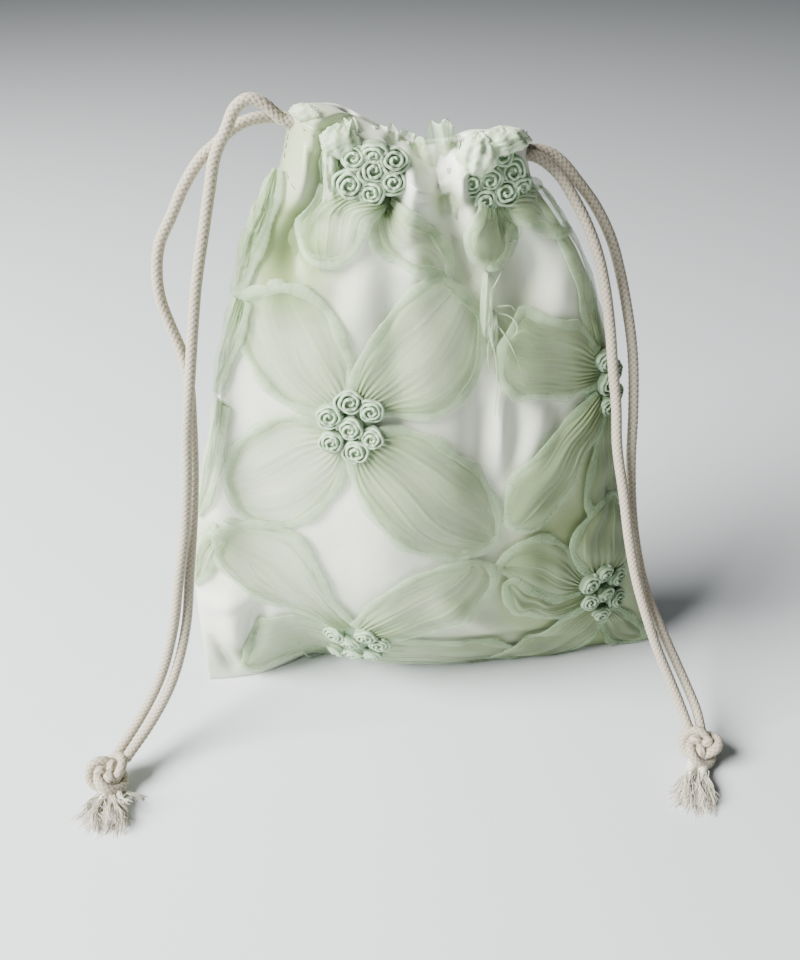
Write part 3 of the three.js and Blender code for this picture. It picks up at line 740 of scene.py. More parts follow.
def satin():
    """Ivory satin with a soft gloss, a fine weave and small crumples, greener under its veils, with painted
    shade in the same dark green
    """
    finish, nodes, links, shader = new_finish("ivory_satin", satin_colour, roughness=0.4, sheen=0.25)
    shade = blended(nodes, links, grain(nodes, links, 26, 3), satin_shade, satin_colour, low=0.3, high=0.7)
    veiled = covered(nodes, links, mark_of(nodes, "veil"), shade, veil_and_shade_colour)
    links.new(veiled, shader.inputs["Base Color"])
    weave = grain(nodes, links, 1500, 2)
    crumple = grain(nodes, links, 55, 2)
    both = nodes.new("ShaderNodeMath")
    both.operation = "MULTIPLY_ADD"
    both.inputs[1].default_value = crumple_depth
    links.new(crumple, both.inputs[0])
    links.new(weave, both.inputs[2])
    bumped(nodes, links, shader, both.outputs["Value"], strength=0.35, depth=0.0002)
    return finish


def pouch_mesh():
    """The outside from the foot up, over the rounded lip, down the turned-in hem, and the inside"""
    spread = np.linspace(0, 1, satin_columns + 1)
    shares = -0.4 * np.cos(math.pi * spread) + 0.6 * (2 * spread - 1)
    hem_foot = 1 - (casing_height + 4) / height
    rings = [(up, 0.0, 0.0, 1.0) for up in np.linspace(0, 1, satin_rows) ** 0.95 * 0.99]
    for turn in np.linspace(0, math.pi, lip_rows):
        inset = hem_depth * (1 - math.cos(turn)) / 2
        rings.append((0.99 + 0.012 * math.sin(turn), inset, 1.6 * inset, 1 - 0.7 * turn / math.pi))
    rings += [(up, hem_depth, 1.6 * hem_depth, 0.3) for up in np.linspace(0.98, hem_foot, hem_rows)]
    inside = np.linspace(hem_foot - 0.008, 0.02, inside_rows)
    rings += [(up, satin_cloth, 2 * satin_cloth, 0.6) for up in inside]
    points = []
    for up, inset, seam_inset, fine in rings:
        front = skin("front", shares, up, inset, seam_inset, fine)
        back = skin("back", shares[-2:0:-1], up, inset, seam_inset, fine)
        points.append(np.vstack([front, back]))
    return np.vstack(points), tube_faces(len(rings), 2 * satin_columns)


cloth_grid = 260
folds = []
places = np.meshgrid(np.linspace(-0.99, 0.99, cloth_grid), np.linspace(0.004, 1, cloth_grid))
cloth_places = np.stack([grid.ravel() for grid in places], axis=1)
cloth_pixels = in_the_photograph(skin("front", cloth_places[:, 0], cloth_places[:, 1], fine=0.0))
fold_ends = on_cloth([fold[:2] for fold in seen_folds])
fold_tips = on_cloth([fold[2:4] for fold in seen_folds])
folds = [(*end, *tip, *fold[4:]) for end, tip, fold in zip(fold_ends, fold_tips, seen_folds)]
veil_and_shade_places = on_cloth([veil[:2] for veil in seen_veils_and_shade])
satin_finish = satin()
points, faces = pouch_mesh()
# The veil mark carries both the organza's green and the painted shade on the front.
veil = np.where(points[:, 1] < 2, veil_and_shade_share(points[:, 0], points[:, 2]), 0.1)
finished("satin_pouch", points, faces, satin_finish, {"veil": veil}, "pouch_body")

# The petals: leaves of pale green organza, gathered at the root under the little roses and edged
# with a rolled rim. Each is sewn over the satin, and it lifts a little between its root and tip.
petal_colour = (0.395, 0.525, 0.27, 1)
petal_fold_colour = (0.29, 0.415, 0.195, 1)
puff_colour = (0.66, 0.79, 0.55, 1)
puff_fold_colour = (0.46, 0.60, 0.36, 1)
rim_colour = (0.33, 0.49, 0.27, 1)
# The rim's lighter colour, used for the painted highlight on its outer face.
rim_light = (0.62, 0.76, 0.51, 1)
petal_gap = 0.9
petal_layer = 0.5
petal_layers = 3
petal_puff = 1.6
root_pleat = 1.3
crease_breadth = 0.03
crease_rise = 0.28
crumple_rise = 0.8
# How dense the organza is: everywhere, and what its root, its edges, its tip, its creases, its crumples
# and its streaks add.
dense_all = 0.2
dense_root = 0.34
dense_edge = 0.16
dense_tip = 0.16
dense_crease = 0.28
dense_crumple = 0.07
dense_streak = 0.14
petal_rows = 56
petal_columns = 72
# Painted shade over the lower right: how much denser the organza grows there, its darker green, and where in
# millimetres it starts and how far it takes to grow.
painted_shade_share = 0.42
painted_shade_colour = (0.165, 0.21, 0.10, 1)
painted_shade_from = -45
painted_shade_over = 115
rim_breadth = 2.0
rim_thick = 0.8
rim_lift = 1.3
rim_steps = 240
rim_sides = 10
rim_alpha = 0.42
# Each petal as it shows in the photograph, in its pixels: one edge from root to tip, the tip, the other
# edge, and then how many pleats run from its root and how far it puffs up.
seen_petals = {
    "petal_a1": ([(333, 416), (292, 403), (267, 383), (249, 354), (240, 330), (239, 308), (252, 292)],
                 (284, 287),
                 [(349, 400), (352, 373), (344, 342), (328, 309), (306, 292)], 7, 1.3),
    "petal_a2": ([(352, 400), (358, 368), (373, 338), (394, 307), (414, 287), (437, 278)], (463, 298),
                 [(372, 410), (404, 413), (428, 414), (447, 407), (464, 390), (475, 368), (481, 345),
                  (478, 320)], 7, 1.8),
    "petal_a3": ([(372, 430), (400, 429), (428, 436), (465, 464), (486, 489), (497, 512)], (493, 540),
                 [(351, 450), (358, 485), (375, 511), (396, 534), (420, 547), (446, 553), (470, 552)],
                 7, 1.8),
    "petal_a4": ([(334, 430), (312, 420), (290, 416), (270, 420), (250, 433), (236, 450)], (227, 480),
                 [(347, 448), (340, 480), (327, 499), (310, 515), (290, 523), (266, 523), (243, 512)],
                 7, 1.5),
    "petal_b1": ([(338, 628), (314, 612), (278, 601), (252, 590), (233, 575), (219, 556)], (218, 532),
                 [(354, 620), (334, 598), (323, 577), (311, 552), (293, 531), (255, 522)], 6, 1.4),
    "petal_b2": ([(356, 621), (366, 608), (382, 592), (399, 580), (419, 571), (441, 565)], (470, 559),
                 [(376, 636), (418, 630), (451, 619), (479, 598), (492, 578), (489, 566)], 6, 1.5),
    "petal_b3": ([(340, 630), (319, 620), (293, 614), (271, 619), (255, 635)], (243, 664),
                 [(345, 647), (325, 648), (300, 650), (278, 658), (258, 667)], 5, 1.2),
    "petal_b4": ([(374, 640), (400, 638), (440, 639), (484, 641)], (535, 646),
                 [(352, 650), (375, 656), (418, 658), (462, 657), (500, 654)], 4, 0.9),
    "petal_c1": ([(586, 572), (570, 550), (572, 535), (582, 520), (596, 503)], (612, 490),
                 [(606, 572), (620, 560), (628, 540), (625, 512)], 5, 1.2),
    "petal_c2": ([(582, 578), (568, 553), (553, 541), (537, 538), (520, 543), (508, 553)], (497, 566),
                 [(578, 590), (560, 594), (545, 592), (530, 584), (513, 575)], 5, 1.5),
    "petal_c3": ([(578, 590), (552, 597), (530, 589), (512, 578)], (503, 582),
                 [(584, 600), (562, 612), (541, 613), (530, 609), (516, 610), (507, 597)], 6, 1.0),
    "petal_c4": ([(584, 602), (560, 616), (537, 633), (516, 642)], (492, 651),
                 [(604, 612), (590, 632), (562, 647), (526, 653)], 7, 1.0),
    "petal_c5": ([(604, 602), (618, 608), (632, 618)], (646, 632),
                 [(596, 608), (602, 626), (612, 640), (632, 640)], 5, 1.0),
    "petal_d1": ([(593, 350), (577, 327), (557, 319), (538, 317), (520, 316)], (502, 345),
                 [(592, 384), (563, 394), (538, 393), (515, 393), (502, 378)], 7, 1.5),
    "petal_d2": ([(592, 392), (563, 422), (538, 447), (523, 466), (512, 482), (507, 500)], (509, 522),
                 [(602, 408), (590, 436), (577, 456), (571, 480), (560, 500), (545, 516), (526, 528)],
                 5, 2.6),
    "petal_d3": ([(591, 350), (580, 310), (572, 280), (564, 255), (556, 235)], (561, 222),
                 [(602, 350), (595, 308), (588, 283), (579, 258), (572, 236)], 4, 0.8),
    "petal_d4": ([(598, 408), (594, 440), (588, 470), (584, 500)], (598, 522),
                 [(607, 408), (614, 450), (618, 490)], 4, 0.9),
    "petal_e1": ([(326, 184), (311, 198), (305, 217), (305, 236), (312, 256)], (335, 260),
                 [(384, 203), (368, 212), (360, 230), (352, 247)], 6, 2.0),
    "petal_e2": ([(384, 203), (371, 220), (376, 244), (404, 258)], (446, 278),
                 [(396, 200), (412, 214), (432, 234), (446, 256)], 4, 1.4),
    "petal_f1": ([(506, 202), (520, 217), (538, 228)], (566, 224),
                 [(513, 182), (535, 182), (556, 200)], 5, 1.8),
    "petal_f2": ([(476, 203), (468, 225), (477, 252)], (492, 266),
                 [(502, 202), (512, 226), (505, 250)], 5, 2.0),
    "shoulder_petal": ([(275, 166), (263, 195), (252, 225), (243, 252)], (237, 292),
                       [(283, 169), (278, 200), (269, 228), (258, 256), (247, 284)], 4, 2.4),
    "petal_g_low": ([(221, 396), (210, 432), (205, 460), (201, 488)], (199, 514),
                    [(231, 404), (225, 440), (220, 470), (210, 500)], 3, 1.4),
    "petal_g_middle": ([(240, 296), (232, 325), (226, 350)], (219, 392),
                       [(252, 300), (244, 335), (234, 362)], 3, 1.4),
    "petal_g_foot": ([(217, 530), (204, 540), (197, 560)], (196, 582),
                     [(222, 536), (216, 556), (207, 574)], 3, 1.2),
}


def spaced(curve, count):
    """So many points at even steps along a curve"""
    at = np.linspace(0, len(curve) - 1, count)
    return np.stack([np.interp(at, np.arange(len(curve)), curve[:, k]) for k in range(3)], axis=1)


def edge_curve(points, count):
    """Even steps along a petal's edge, in the front view"""
    flat = [(x, 0, z) for x, z in np.asarray(points, float)]
    return spaced(eased(flat, 0.5), count)[:, [0, 2]]


def organza(name, fold, colour):
    """See-through silk organza that is streaked along its pleats, with painted shade in a darker green over
    the lower right
    """
    finish, nodes, links, shader = new_finish(name, colour, roughness=0.55, sheen=0.35)
    stretch = nodes.new("ShaderNodeCombineXYZ")
    links.new(mark_of(nodes, "across"), stretch.inputs["X"])
    links.new(mark_of(nodes, "along"), stretch.inputs["Y"])
    streak = grain(nodes, links, 1.0, 4, stretch.outputs["Vector"])
    shade = blended(nodes, links, streak, fold, colour, low=0.36, high=0.52)
    painted_shade = covered(nodes, links, mark_of(nodes, "painted_shade"), shade, painted_shade_colour)
    links.new(painted_shade, shader.inputs["Base Color"])
    veil = nodes.new("ShaderNodeMapRange")
    veil.inputs["From Min"].default_value = 0.35
    veil.inputs["From Max"].default_value = 0.65
    veil.inputs["To Min"].default_value = dense_streak
    veil.inputs["To Max"].default_value = 0.0
    links.new(streak, veil.inputs["Value"])
    dense = nodes.new("ShaderNodeMath")
    dense.operation = "ADD"
    dense.use_clamp = True
    links.new(mark_of(nodes, "dense"), dense.inputs[0])
    links.new(veil.outputs["Result"], dense.inputs[1])
    links.new(dense.outputs["Value"], shader.inputs["Alpha"])
    bumped(nodes, links, shader, streak, strength=0.25, depth=0.0004)
    return finish


def rolled_organza():
    """The same cloth rolled up into a rim"""
    finish, nodes, links, shader = new_finish("rolled_organza_rim", rim_colour, roughness=0.6, sheen=0.35)
    shade = blended(nodes, links, mark_of(nodes, "relief"), rim_colour, rim_light)
    links.new(shade, shader.inputs["Base Color"])
    shader.inputs["Alpha"].default_value = rim_alpha
    bumped(nodes, links, shader, grain(nodes, links, 900, 3), strength=0.4, depth=0.0003)
    return finish


def sheet_faces(rows, columns):
    """Faces between rows of points"""
    corners = [j * columns + i for j in range(rows - 1) for i in range(columns - 1)]
    return [(a, a + 1, a + columns + 1, a + columns) for a in corners]


def petal_sheet(name, left, tip, right, pleats, puff, lift, draw):
    """A petal between its two edges, pleated from its root, and the two edges in the front view"""
    t = np.linspace(0, 1, petal_rows)
    one = edge_curve(on_cloth(left + [tip]), petal_rows)
    other = edge_curve(on_cloth(right + [tip]), petal_rows)
    side = np.linspace(-1, 1, petal_columns)
    share = (side + 1) / 2
    flat = one[:, None, :] * (1 - share)[None, :, None] + other[:, None, :] * share[None, :, None]
    along = t[:, None] + 0 * side[None, :]
    across = side[None, :] + 0 * t[:, None]
    phase = draw.uniform(0, 2 * math.pi, 4)
    sway = 1.2 * np.sin(across * 3 + phase[0])
    pleat = 0.5 + 0.5 * np.cos(math.pi * 1.7 * pleats * across + phase[2] + sway)
    crumple = np.sin(across * 5 + along * 7 + phase[3]) * np.sin(along * 9 - across * 3 + phase[1])
    crease = np.zeros_like(across)
    for k in range(pleats):
        middle = -0.9 + 1.8 * (k + draw.uniform(0.1, 0.9)) / pleats
        reach = draw.uniform(0.45, 1.05)
        line = middle + 0.1 * np.sin(along * 3.5 + draw.uniform(0, 6)) + 0.02 * np.sin(along * 13 + phase[3])
        fade = np.clip((reach - along) * 4, 0, 1) * np.clip(along * 8, 0, 1)
        ridge = np.exp(-((across - line) / crease_breadth) ** 2)
        crease = np.maximum(crease, draw.uniform(0.3, 1) * fade * ridge)
    inner = 1 - across ** 6
    crease, crumple = crease * inner, crumple * inner
    rise = petal_gap + petal_puff * puff * np.sin(math.pi * along) ** 0.8 * (1 - across ** 2) ** 0.6
    rise = rise + crease_rise * puff * crease + root_pleat * pleat * (1 - along) ** 5 * inner
    rise = rise + crumple_rise * crumple * np.sin(math.pi * along)
    points, _ = over(flat[..., 0], flat[..., 1], rise + lift)
    dense = dense_all + dense_root * (1 - along) ** 3 + dense_edge * np.abs(across) ** 4
    dense = dense + dense_tip * along ** 6 + dense_crease * crease
    # Painted shade: towards the lower right the petals grow denser and darker.
    painted_shade = painted_shade_at(flat[..., 0], flat[..., 1], painted_shade_from, painted_shade_over)
    dense = dense + dense_crumple * crumple + painted_shade_share * painted_shade
    marks = {"across": (across * pleats * 1.6 + phase[2]).ravel(), "along": (along * 2.2).ravel(),
             "dense": dense.ravel(), "painted_shade": painted_shade.ravel() * 0.8}
    sheet = finished(name.replace("petal", "organza"), points.reshape(-1, 3),
                     sheet_faces(petal_rows, petal_columns), organza_finish, marks,
                     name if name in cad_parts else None)
    return sheet, one, other


def petal_rim(name, one, other, lift, draw):
    """A rolled rim along one edge, round the tip and back down the other edge"""
    line = np.vstack([one, other[-2::-1]])
    line = edge_curve(np.vstack([line[::3], line[-1:]]), rim_steps)
    base, normal = over(line[:, 0], line[:, 1], np.full(len(line), rim_lift + lift))
    along = np.gradient(base, axis=0)
    along /= np.linalg.norm(along, axis=1)[:, None]
    out = np.cross(normal, along)
    run = np.concatenate([[0], np.cumsum(np.linalg.norm(np.diff(base, axis=0), axis=1))])
    phase = draw.uniform(0, 6, 3)
    gather = 0.5 + 0.25 * np.sin(run * 2.3 + 3 * np.sin(run * 0.37 + phase[0]))
    gather = gather + 0.25 * np.sin(run * 0.9 + phase[2])
    swell = 1 + 0.25 * np.sin(run * 0.33 + phase[1]) + 0.15 * (gather - 0.5)
    angle = (np.arange(rim_sides) * 2 * math.pi / rim_sides)[None, :]
    outwards = np.cos(angle) * (rim_breadth * swell)[:, None]
    upwards = np.maximum(np.sin(angle), -0.15) * (rim_thick * swell)[:, None]
    points = base[:, None] + out[:, None] * outwards[..., None] + normal[:, None] * upwards[..., None]
    # Painted highlight on the rim's face away from the cloth, a tone that wanders along its gathers, and
    # painted shade on the lower right.
    light = 1 - 0.9 * painted_shade_at(line[:, 0], line[:, 1], painted_shade_from, painted_shade_over)[:, None]
    relief = (0.25 + gather[:, None] * 0.3 + 0.3 * (0.5 + 0.5 * np.sin(angle))) * light
    return finished(name + "_rim", points.reshape(-1, 3), tube_faces(len(line), rim_sides), rim_finish,
                    {"relief": relief.ravel()})


organza_finish = organza("pale_green_organza", petal_fold_colour, petal_colour)
puff_finish = organza("puffed_organza", puff_fold_colour, puff_colour)
rim_finish = rolled_organza()
draw = np.random.default_rng(11)
for count, (name, (left, tip, right, pleats, puff)) in enumerate(seen_petals.items()):
    lift = petal_layer * (count % petal_layers)
    sheet, one, other = petal_sheet(name, left, tip, right, pleats, puff, lift, draw)
    rim = petal_rim(name, one, other, lift, draw)

# The ruffles at the mouth: loose ends of the organza that stand up behind the casing, and bunches of
# it that are gathered to a knot and puff out over the casing and between the petals.
ruffle_columns = 60
ruffle_rows = 26
ruffle_wave = 1.9
ruffle_sway = 0.6
ruffle_ragged = 0.8
bunch_columns = 56
bunch_rows = 30
bunch_pleat = 0.08
bunch_crumple = 0.085
bunch_end = 0.04
# Each ruffle is seen in the photograph: its foot, its top edge, how far back each stands in
# millimetres, and how many waves it has.
seen_ruffles = {
    "mouth_frill_left": [
        ([(322, 190), (328, 178), (340, 170)], [(318, 160), (330, 140), (352, 118)], -10, -12, 3),
        ([(330, 170), (345, 160), (362, 158)], [(334, 132), (350, 117), (362, 134)], -9, -8, 3),
        ([(360, 160), (385, 158), (412, 160)], [(358, 134), (384, 124), (414, 146)], -8, -5, 5),
        ([(380, 160), (400, 158), (425, 165)], [(392, 134), (408, 130), (424, 148)], -7, -3, 3),
    ],
    "mouth_frill_middle": [
        ([(420, 168), (436, 166), (454, 170)], [(414, 146), (436, 121), (450, 121)], -10, -11, 2),
        ([(434, 170), (446, 168), (458, 172)], [(438, 122), (452, 124), (460, 144)], -8, -10, 2),
    ],
}
# Bunches: the pixel of the middle, how far it stands off the cloth, its half breadth, height and depth
# in millimetres, its pleats, and how dense it is.
seen_bunches = {
    "bunch_over_right_roses": [(474, 151, 4.0, 6.4, 6.6, 5.5, 9, 0.9),
                               (497, 139, 3.0, 9.5, 4.2, 6.0, 9, 0.85)],
    "bunch_by_left_roses": [(331, 172, 1.0, 2.6, 8.0, 3.0, 6, 0.6), (341, 140, 2.0, 6.0, 5.0, 4.0, 8, 0.6),
                            (332, 198, 1.0, 3.4, 4.0, 2.5, 6, 0.5), (306, 112, 1.0, 5.0, 2.6, 2.0, 6, 0.5),
                            (457, 186, 0.5, 2.4, 10.0, 3.0, 5, 0.5)],
    "tucks_between_petals": [(215, 526, 0.6, 3.0, 2.0, 1.8, 5, 0.5), (466, 553, 1.0, 2.6, 1.8, 1.8, 5, 0.5),
                             (493, 568, 0.6, 3.2, 1.8, 1.6, 5, 0.5), (486, 306, 0.6, 2.2, 12.0, 2.2, 6, 0.45),
                             (492, 330, 0.6, 2.0, 7.0, 2.0, 5, 0.45), (279, 286, 0.4, 4.4, 2.4, 1.6, 6, 0.4),
                             (252, 292, 0.4, 3.6, 2.4, 1.6, 5, 0.4), (246, 250, 0.4, 2.4, 6.0, 2.4, 5, 0.5),
                             (257, 216, 0.4, 2.6, 6.0, 2.6, 5, 0.5), (267, 188, 0.4, 2.4, 6.0, 2.6, 5, 0.5),
                             (236, 522, 0.4, 6.0, 1.6, 1.2, 4, 0.4)],
}


def at_depth(pixels, y):
    """Points that show at these pixels and lie at these depths"""
    pixels = np.asarray(pixels, float)
    start, ahead, right, top, scale = sight()
    way = (ahead + (pixels[:, :1] - photograph_width / 2) / scale * right
           - (pixels[:, 1:] - photograph_height / 2) / scale * top)
    return start + way * ((y - start[1]) / way[:, 1])[:, None]


def ruffle_parts(foot, top, foot_depth, top_depth, waves, draw):
    """A waved strip of organza between its foot and its top edge"""
    low = spaced(eased(at_depth(foot, foot_depth), 0.2), ruffle_columns)
    high = spaced(eased(at_depth(top, top_depth), 0.2), ruffle_columns)
    at = np.linspace(0, 1, ruffle_columns)
    up = np.linspace(0, 1, ruffle_rows)[:, None]
    phase = draw.uniform(0, 6, 3)
    points = low[None] * (1 - up)[..., None] + high[None] * up[..., None]
    wave = np.sin(2 * math.pi * waves * at + phase[0])[None, :] * (0.3 + up)
    points[..., 1] += ruffle_wave * wave + ruffle_sway * np.sin(at * 23 + phase[1])[None, :] * up
    points[..., 2] += ruffle_ragged * np.sin(at * 17 + phase[2])[None, :] * up ** 2
    dense = 0.62 - 0.2 * up + 0.3 * up ** 10
    marks = np.stack(np.broadcast_arrays(at[None, :] * waves * 4, up * 2, dense), axis=-1)
    return points.reshape(-1, 3), sheet_faces(ruffle_rows, ruffle_columns), marks.reshape(-1, 3)


def bunch_parts(px, py, off, breadth, tall, deep, pleats, dense, draw):
    """A puff of gathered organza, with its pleats drawn in at both ends"""
    (x, z), = on_cloth([(px, py)])
    middle, normal = over(np.array([x]), np.array([z]), np.array([off]), fine=0.0)
    middle, normal = middle[0], normal[0]
    right = np.cross([0, 0, 1.0], -normal)
    right /= np.linalg.norm(right)
    if right[0] < 0:
        right = -right
    top = np.cross(right, -normal)
    if top[2] < 0:
        top = -top
    phase = draw.uniform(0, 6, 4)
    way = np.linspace(bunch_end, math.pi - bunch_end, bunch_rows)[:, None]
    around = (np.arange(bunch_columns) * 2 * math.pi / bunch_columns)[None, :]
    pleat = np.cos(pleats * around + 1.3 * np.sin(way * 2 + phase[0]) + phase[1])
    crumple = np.sin(around * 3 + phase[2]) * np.sin(way * 5 + phase[3])
    crumple = crumple + 0.5 - np.abs(np.sin(around * 5 + 3 * np.sin(way * 4 + phase[0])))
    crumple = crumple + 0.4 - 0.8 * np.abs(np.sin(way * 7 + 2 * np.sin(around * 4 + phase[1])))
    reach = 1 + bunch_pleat * pleat + bunch_crumple * crumple
    ring = np.sin(way) * reach
    points = (middle + (breadth * ring * np.cos(around))[..., None] * right
              + (tall * np.cos(way) * (1 + bunch_pleat * crumple))[..., None] * top
              + (deep * ring * np.sin(around))[..., None] * normal)
    marks = np.stack(np.broadcast_arrays(pleats * around * 1.2, way * 1.5, dense + 0 * way * around), axis=-1)
    return points.reshape(-1, 3), tube_faces(bunch_rows, bunch_columns), marks.reshape(-1, 3)


def organza_piece(name, parts, node=None):
    """Ruffles or bunches as one piece of puffed organza"""
    points, faces, marks = joined(parts)
    marks = {"across": marks[:, 0], "along": marks[:, 1], "dense": marks[:, 2]}
    return finished(name, points, faces, puff_finish, marks, node)


draw = np.random.default_rng(17)
for name, ruffles in seen_ruffles.items():
    piece = organza_piece("ruffle_" + name, [ruffle_parts(*ruffle, draw) for ruffle in ruffles], name)
for name, bunches in seen_bunches.items():
    organza_piece(name, [bunch_parts(*bunch, draw) for bunch in bunches])

# The sewing: small cotton stitches along the seams at the left corner, and threads of organza that
# have come loose at the petals' edges and lie a little off the cloth.
# Loose threads, as the pixels that each runs through.
seen_threads = [
    [(492, 318), (503, 332), (512, 352), (520, 372)], [(494, 312), (508, 318), (514, 330), (506, 342)],
    [(490, 330), (486, 350), (489, 372)], [(497, 306), (506, 306), (512, 312)],
    [(488, 334), (494, 352), (497, 380), (495, 410)], [(324, 650), (312, 654), (302, 648), (296, 640)],
    [(500, 268), (494, 280), (490, 296)], [(519, 214), (516, 240), (500, 262), (486, 270)],
    [(250, 560), (262, 574), (280, 590)],
]
# The side seam and the casing's seam at the left corner, as lines of small stitches.
seen_stitches = [[(292, 116), (288, 134), (284, 158)], [(286, 172), (293, 184), (301, 188)],
                 [(300, 124), (314, 130), (326, 134)]]
stitch = 1.5
stitch_gap = 1.3
fine_steps = 10
stitch_arch = 0.3
thread_radius = 0.28
thread_gap = 1.6
thread_arch = 1.2
thread_sides = 5


def thread_parts(pixels):
    """A loose thread that stands a little off the cloth"""
    flat = on_cloth(pixels)
    lift = thread_gap + thread_arch * np.sin(np.linspace(0, math.pi, len(flat)))
    points, faces = plain_tube(eased(over(flat[:, 0], flat[:, 1], lift)[0], 0.8), thread_radius, thread_sides)
    return points, faces, np.full(len(points), 0.8)


def stitch_parts(pixels):
    """Stitches along a seam, each a short arch of thread"""
    line = eased([(x, 0, z) for x, z in on_cloth(pixels)], 1 / fine_steps)
    parts = []
    for begin in np.arange(0, len(line) * (1 / fine_steps) - stitch, stitch + stitch_gap):
        run = line[[int((begin + part * stitch) * fine_steps) for part in (0, 0.5, 1)]]
        route = over(run[:, 0], run[:, 2], np.array([0.0, stitch_arch, 0.0]))[0]
        points, faces = plain_tube(route, thread_radius, thread_sides)
        parts.append((points, faces, np.full(len(points), 0.9)))
    return joined(parts)


points, faces, relief = joined([stitch_parts(pixels) for pixels in seen_stitches])
finished("seam_stitches", points, faces, cotton_finish, {"relief": relief})
points, faces, relief = joined([thread_parts(pixels) for pixels in seen_threads])
finished("loose_threads", points, faces, rim_finish, {"relief": relief})

# The little roses: strips of organza rolled into spirals, seven to a flower where there is room,
# and sewn close together over the petals' gathered roots.
rose_radius = 5.3
rose_height = 4.4
rose_turns = 2.9
rose_foot = 1.6
rose_tilt = 0.16
rose_heart = 0.4
rose_squash = 0.84
rose_steps = 96
dome_sides = 20
pad_sides = 40
# The ribbon across: how far out and how high each point of its section lies, from the inner foot over
# the turned edge to the outer foot; and the rings of the low dome under it, and of the pad.
rose_profile = np.array([(-0.40, 0.0), (-0.48, 0.62), (-0.36, 0.92), (0.05, 1.02), (0.55, 0.92), (0.74, 0.72),
                         (0.55, 0.5), (0.45, 0.0)])
dome_rings = ((0.9, 0.0), (0.86, 0.34), (0.5, 0.62), (0.08, 0.72))
pad_rings = ((1.0, 0.2), (0.95, 1.4), (0.7, 2.0), (0.35, 2.1))
rose_colour = (0.46, 0.61, 0.41, 1)
rose_shade_colour = (0.12, 0.20, 0.105, 1)
# The middle of each rose as it shows in the photograph, in its pixels.
seen_roses = {
    "a": [(331, 412), (350, 399), (371, 407), (352, 424), (333, 437), (373, 434), (358, 447)],
    "b": [(338, 627), (352, 634), (367, 628), (380, 636), (340, 642), (358, 646), (374, 646)],
    "c": [(585, 579), (598, 569), (611, 572), (599, 588), (585, 597), (611, 593), (597, 607)],
    "d": [(598, 358), (600, 380), (601, 402), (606, 369), (607, 391)],
    "e": [(355, 156), (372, 167), (392, 158), (350, 182), (372, 190), (392, 179), (375, 149)],
    "f": [(466, 181), (486, 175), (507, 168), (495, 153), (500, 191), (480, 198), (513, 182)],
}


def rose_parts(x, z, radius, draw):
    """One rolled rose: a ribbon that winds outwards, with its upper edge turned over, round a low dome"""
    middle, normal = over(np.array([x]), np.array([z]), np.array([rose_foot]), fine=0.0)
    tilt = np.array([draw.normal(0, rose_tilt), 0, draw.normal(0, rose_tilt)])
    middle, normal = middle[0], normal[0] + tilt
    normal /= np.linalg.norm(normal)
    right = np.array([1.0, 0, 0]) - normal * normal[0]
    right /= np.linalg.norm(right)
    above = np.cross(normal, right)
    turns = np.linspace(0, 2 * math.pi * rose_turns, rose_steps)
    share = turns / turns[-1]
    start = draw.uniform(0, 2 * math.pi)
    wobble = 1 + 0.06 * np.sin(turns * 1.6 + start) + 0.05 * np.sin(turns * 4.3 + 2 * start)
    squash = draw.uniform(rose_squash, 1.0)
    reach = (rose_heart + (radius - 1.0) * share ** 0.8) * wobble
    tall = rose_height * (1 - 0.4 * share ** 2)
    apart, up = rose_profile.T[:, None, :]
    out = np.cos(turns + start)[:, None] * right + squash * np.sin(turns + start)[:, None] * above
    crinkle = 0.22 * np.sin(turns * 2.7 + start) + 0.14 * np.sin(turns * 7.1 + 3 * start)
    lift = tall[:, None] * up + (up > 0.6) * crinkle[:, None]
    points = middle + out[:, None, :] * (reach[:, None] + apart)[..., None] + normal * lift[..., None]
    # Painted shade: the ribbon grows darker towards its foot, down in the spirals, and the low dome under it
    # is given a middle shade below.
    relief = np.broadcast_to(np.clip(up ** 2, 0, 1), lift.shape)
    ribbon = (points.reshape(-1, 3), tube_faces(rose_steps, len(rose_profile)), relief.ravel())
    angle = np.linspace(0, 2 * math.pi, dome_sides, endpoint=False)
    circle = np.cos(angle)[:, None] * right + squash * np.sin(angle)[:, None] * above
    dome = np.vstack([middle + circle * radius * share + normal * rose_height * rise
                      for share, rise in dome_rings])
    return joined([ribbon, (dome, tube_faces(len(dome_rings), dome_sides), np.full(len(dome), 0.45))])


def rose_organza():
    """Organza rolled close, with painted shade in deep green down in the spirals"""
    finish, nodes, links, shader = new_finish("rose_organza", rose_colour, roughness=0.6, sheen=0.4)
    shade = blended(nodes, links, mark_of(nodes, "relief"), rose_shade_colour, rose_colour,
                    low=0.1, high=0.95)
    links.new(shade, shader.inputs["Base Color"])
    bumped(nodes, links, shader, grain(nodes, links, 1100, 3), strength=0.35, depth=0.0003)
    return finish


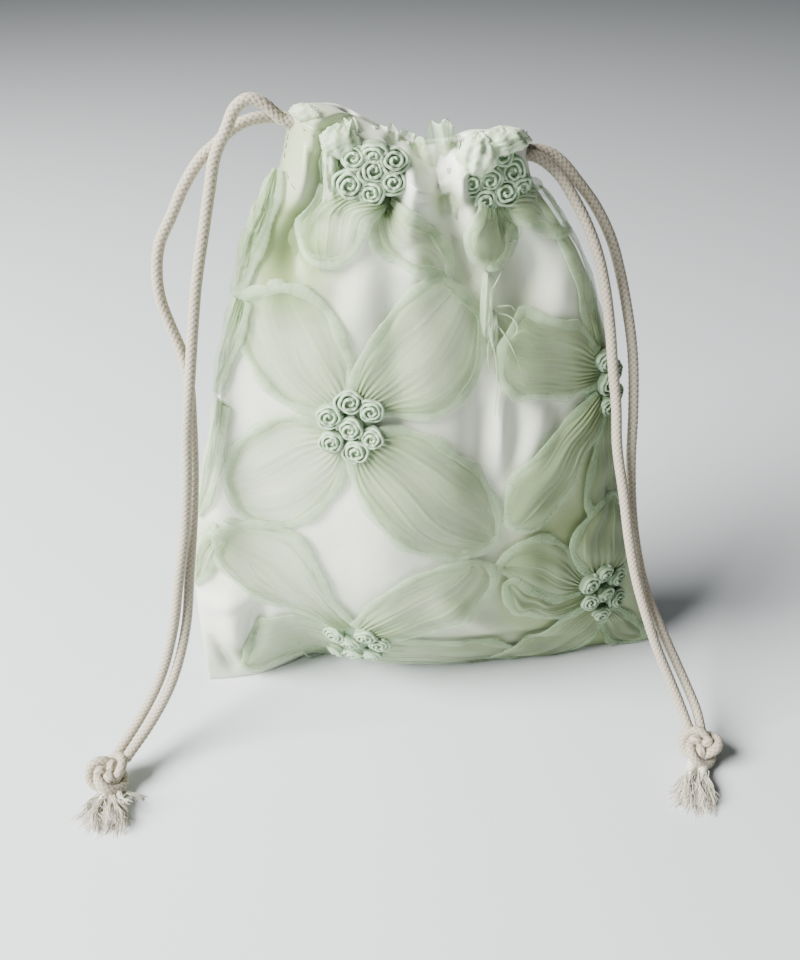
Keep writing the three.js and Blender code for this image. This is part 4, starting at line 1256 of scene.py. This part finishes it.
def pad_part(x, z, radius):
    """The gathered pad that the roses are sewn to"""
    angle = np.linspace(0, 2 * math.pi, pad_sides, endpoint=False)
    rings = []
    for share, rise in pad_rings:
        reach = radius * share * (1 + 0.03 * np.sin(angle * 9))
        ring_x, ring_z = x + reach * np.cos(angle), z + reach * np.sin(angle)
        rings.append(over(ring_x, ring_z, np.full(pad_sides, rise), fine=0.0)[0])
    points = np.vstack(rings)
    # Painted shade: the pad under the roses takes a dark share.
    return points, tube_faces(len(rings), pad_sides), np.full(len(points), 0.25)


rose_finish = rose_organza()
draw = np.random.default_rng(23)
for name, pixels in seen_roses.items():
    middles = on_cloth(pixels)
    x, z = middles.mean(axis=0)
    spread = float(np.max(np.linalg.norm(middles - (x, z), axis=1)))
    parts = [pad_part(x, z, spread * 0.9)]
    for rose_x, rose_z in middles:
        parts.append(rose_parts(rose_x, rose_z, rose_radius * draw.uniform(0.9, 1.06), draw))
    points, faces, relief = joined(parts)
    # Painted shade: the roses on the lower right are darker.
    relief = relief * (1 - 0.5 * painted_shade_at(points[:, 0], points[:, 2]))
    finished("roses_" + name, points, faces, rose_finish,
             {"relief": relief}, "rosettes_" + name)

# The drawcords inside the casing: each runs from its slit along the front, round the far side seam
# and back along the back, one above the other in the channel. The same braided cotton.
channel_middle = 1 - 6.5 / height
channel_inset = 5.4
channel_fine = 0.9
channel_seam_inset = 6.0
cord_layer = 2.2
cord_exits = {"left": (-48.9, 235.5), "right": (22.7, 222.8)}
exit_near = 3.7
exit_far = 6.7
hidden_stops = np.linspace(0.72, -0.8, 30)

for side, (exit_x, exit_z) in cord_exits.items():
    out = -1 if side == "left" else 1
    channel = (channel_middle, channel_inset, channel_seam_inset, channel_fine)
    front = skin("front", np.append(out * hidden_stops, -out), *channel)
    back = skin("back", out * hidden_stops[::-1], *channel)
    hidden = np.vstack([front, back]) - (0, 0, out * cord_layer)
    near, far = exit_x - out * exit_near, exit_x - out * exit_far
    stops = [(near, -2.3, exit_z), (far, -2.6, exit_z), *hidden, (far, 2.3, exit_z), (near, 2.3, exit_z)]
    points, faces, relief = braided(eased(stops, cord_step), cord_radius)
    finished("casing_cord_" + side, points, faces, cotton_finish, {"relief": relief},
             "drawcord_" + side + "_hidden")
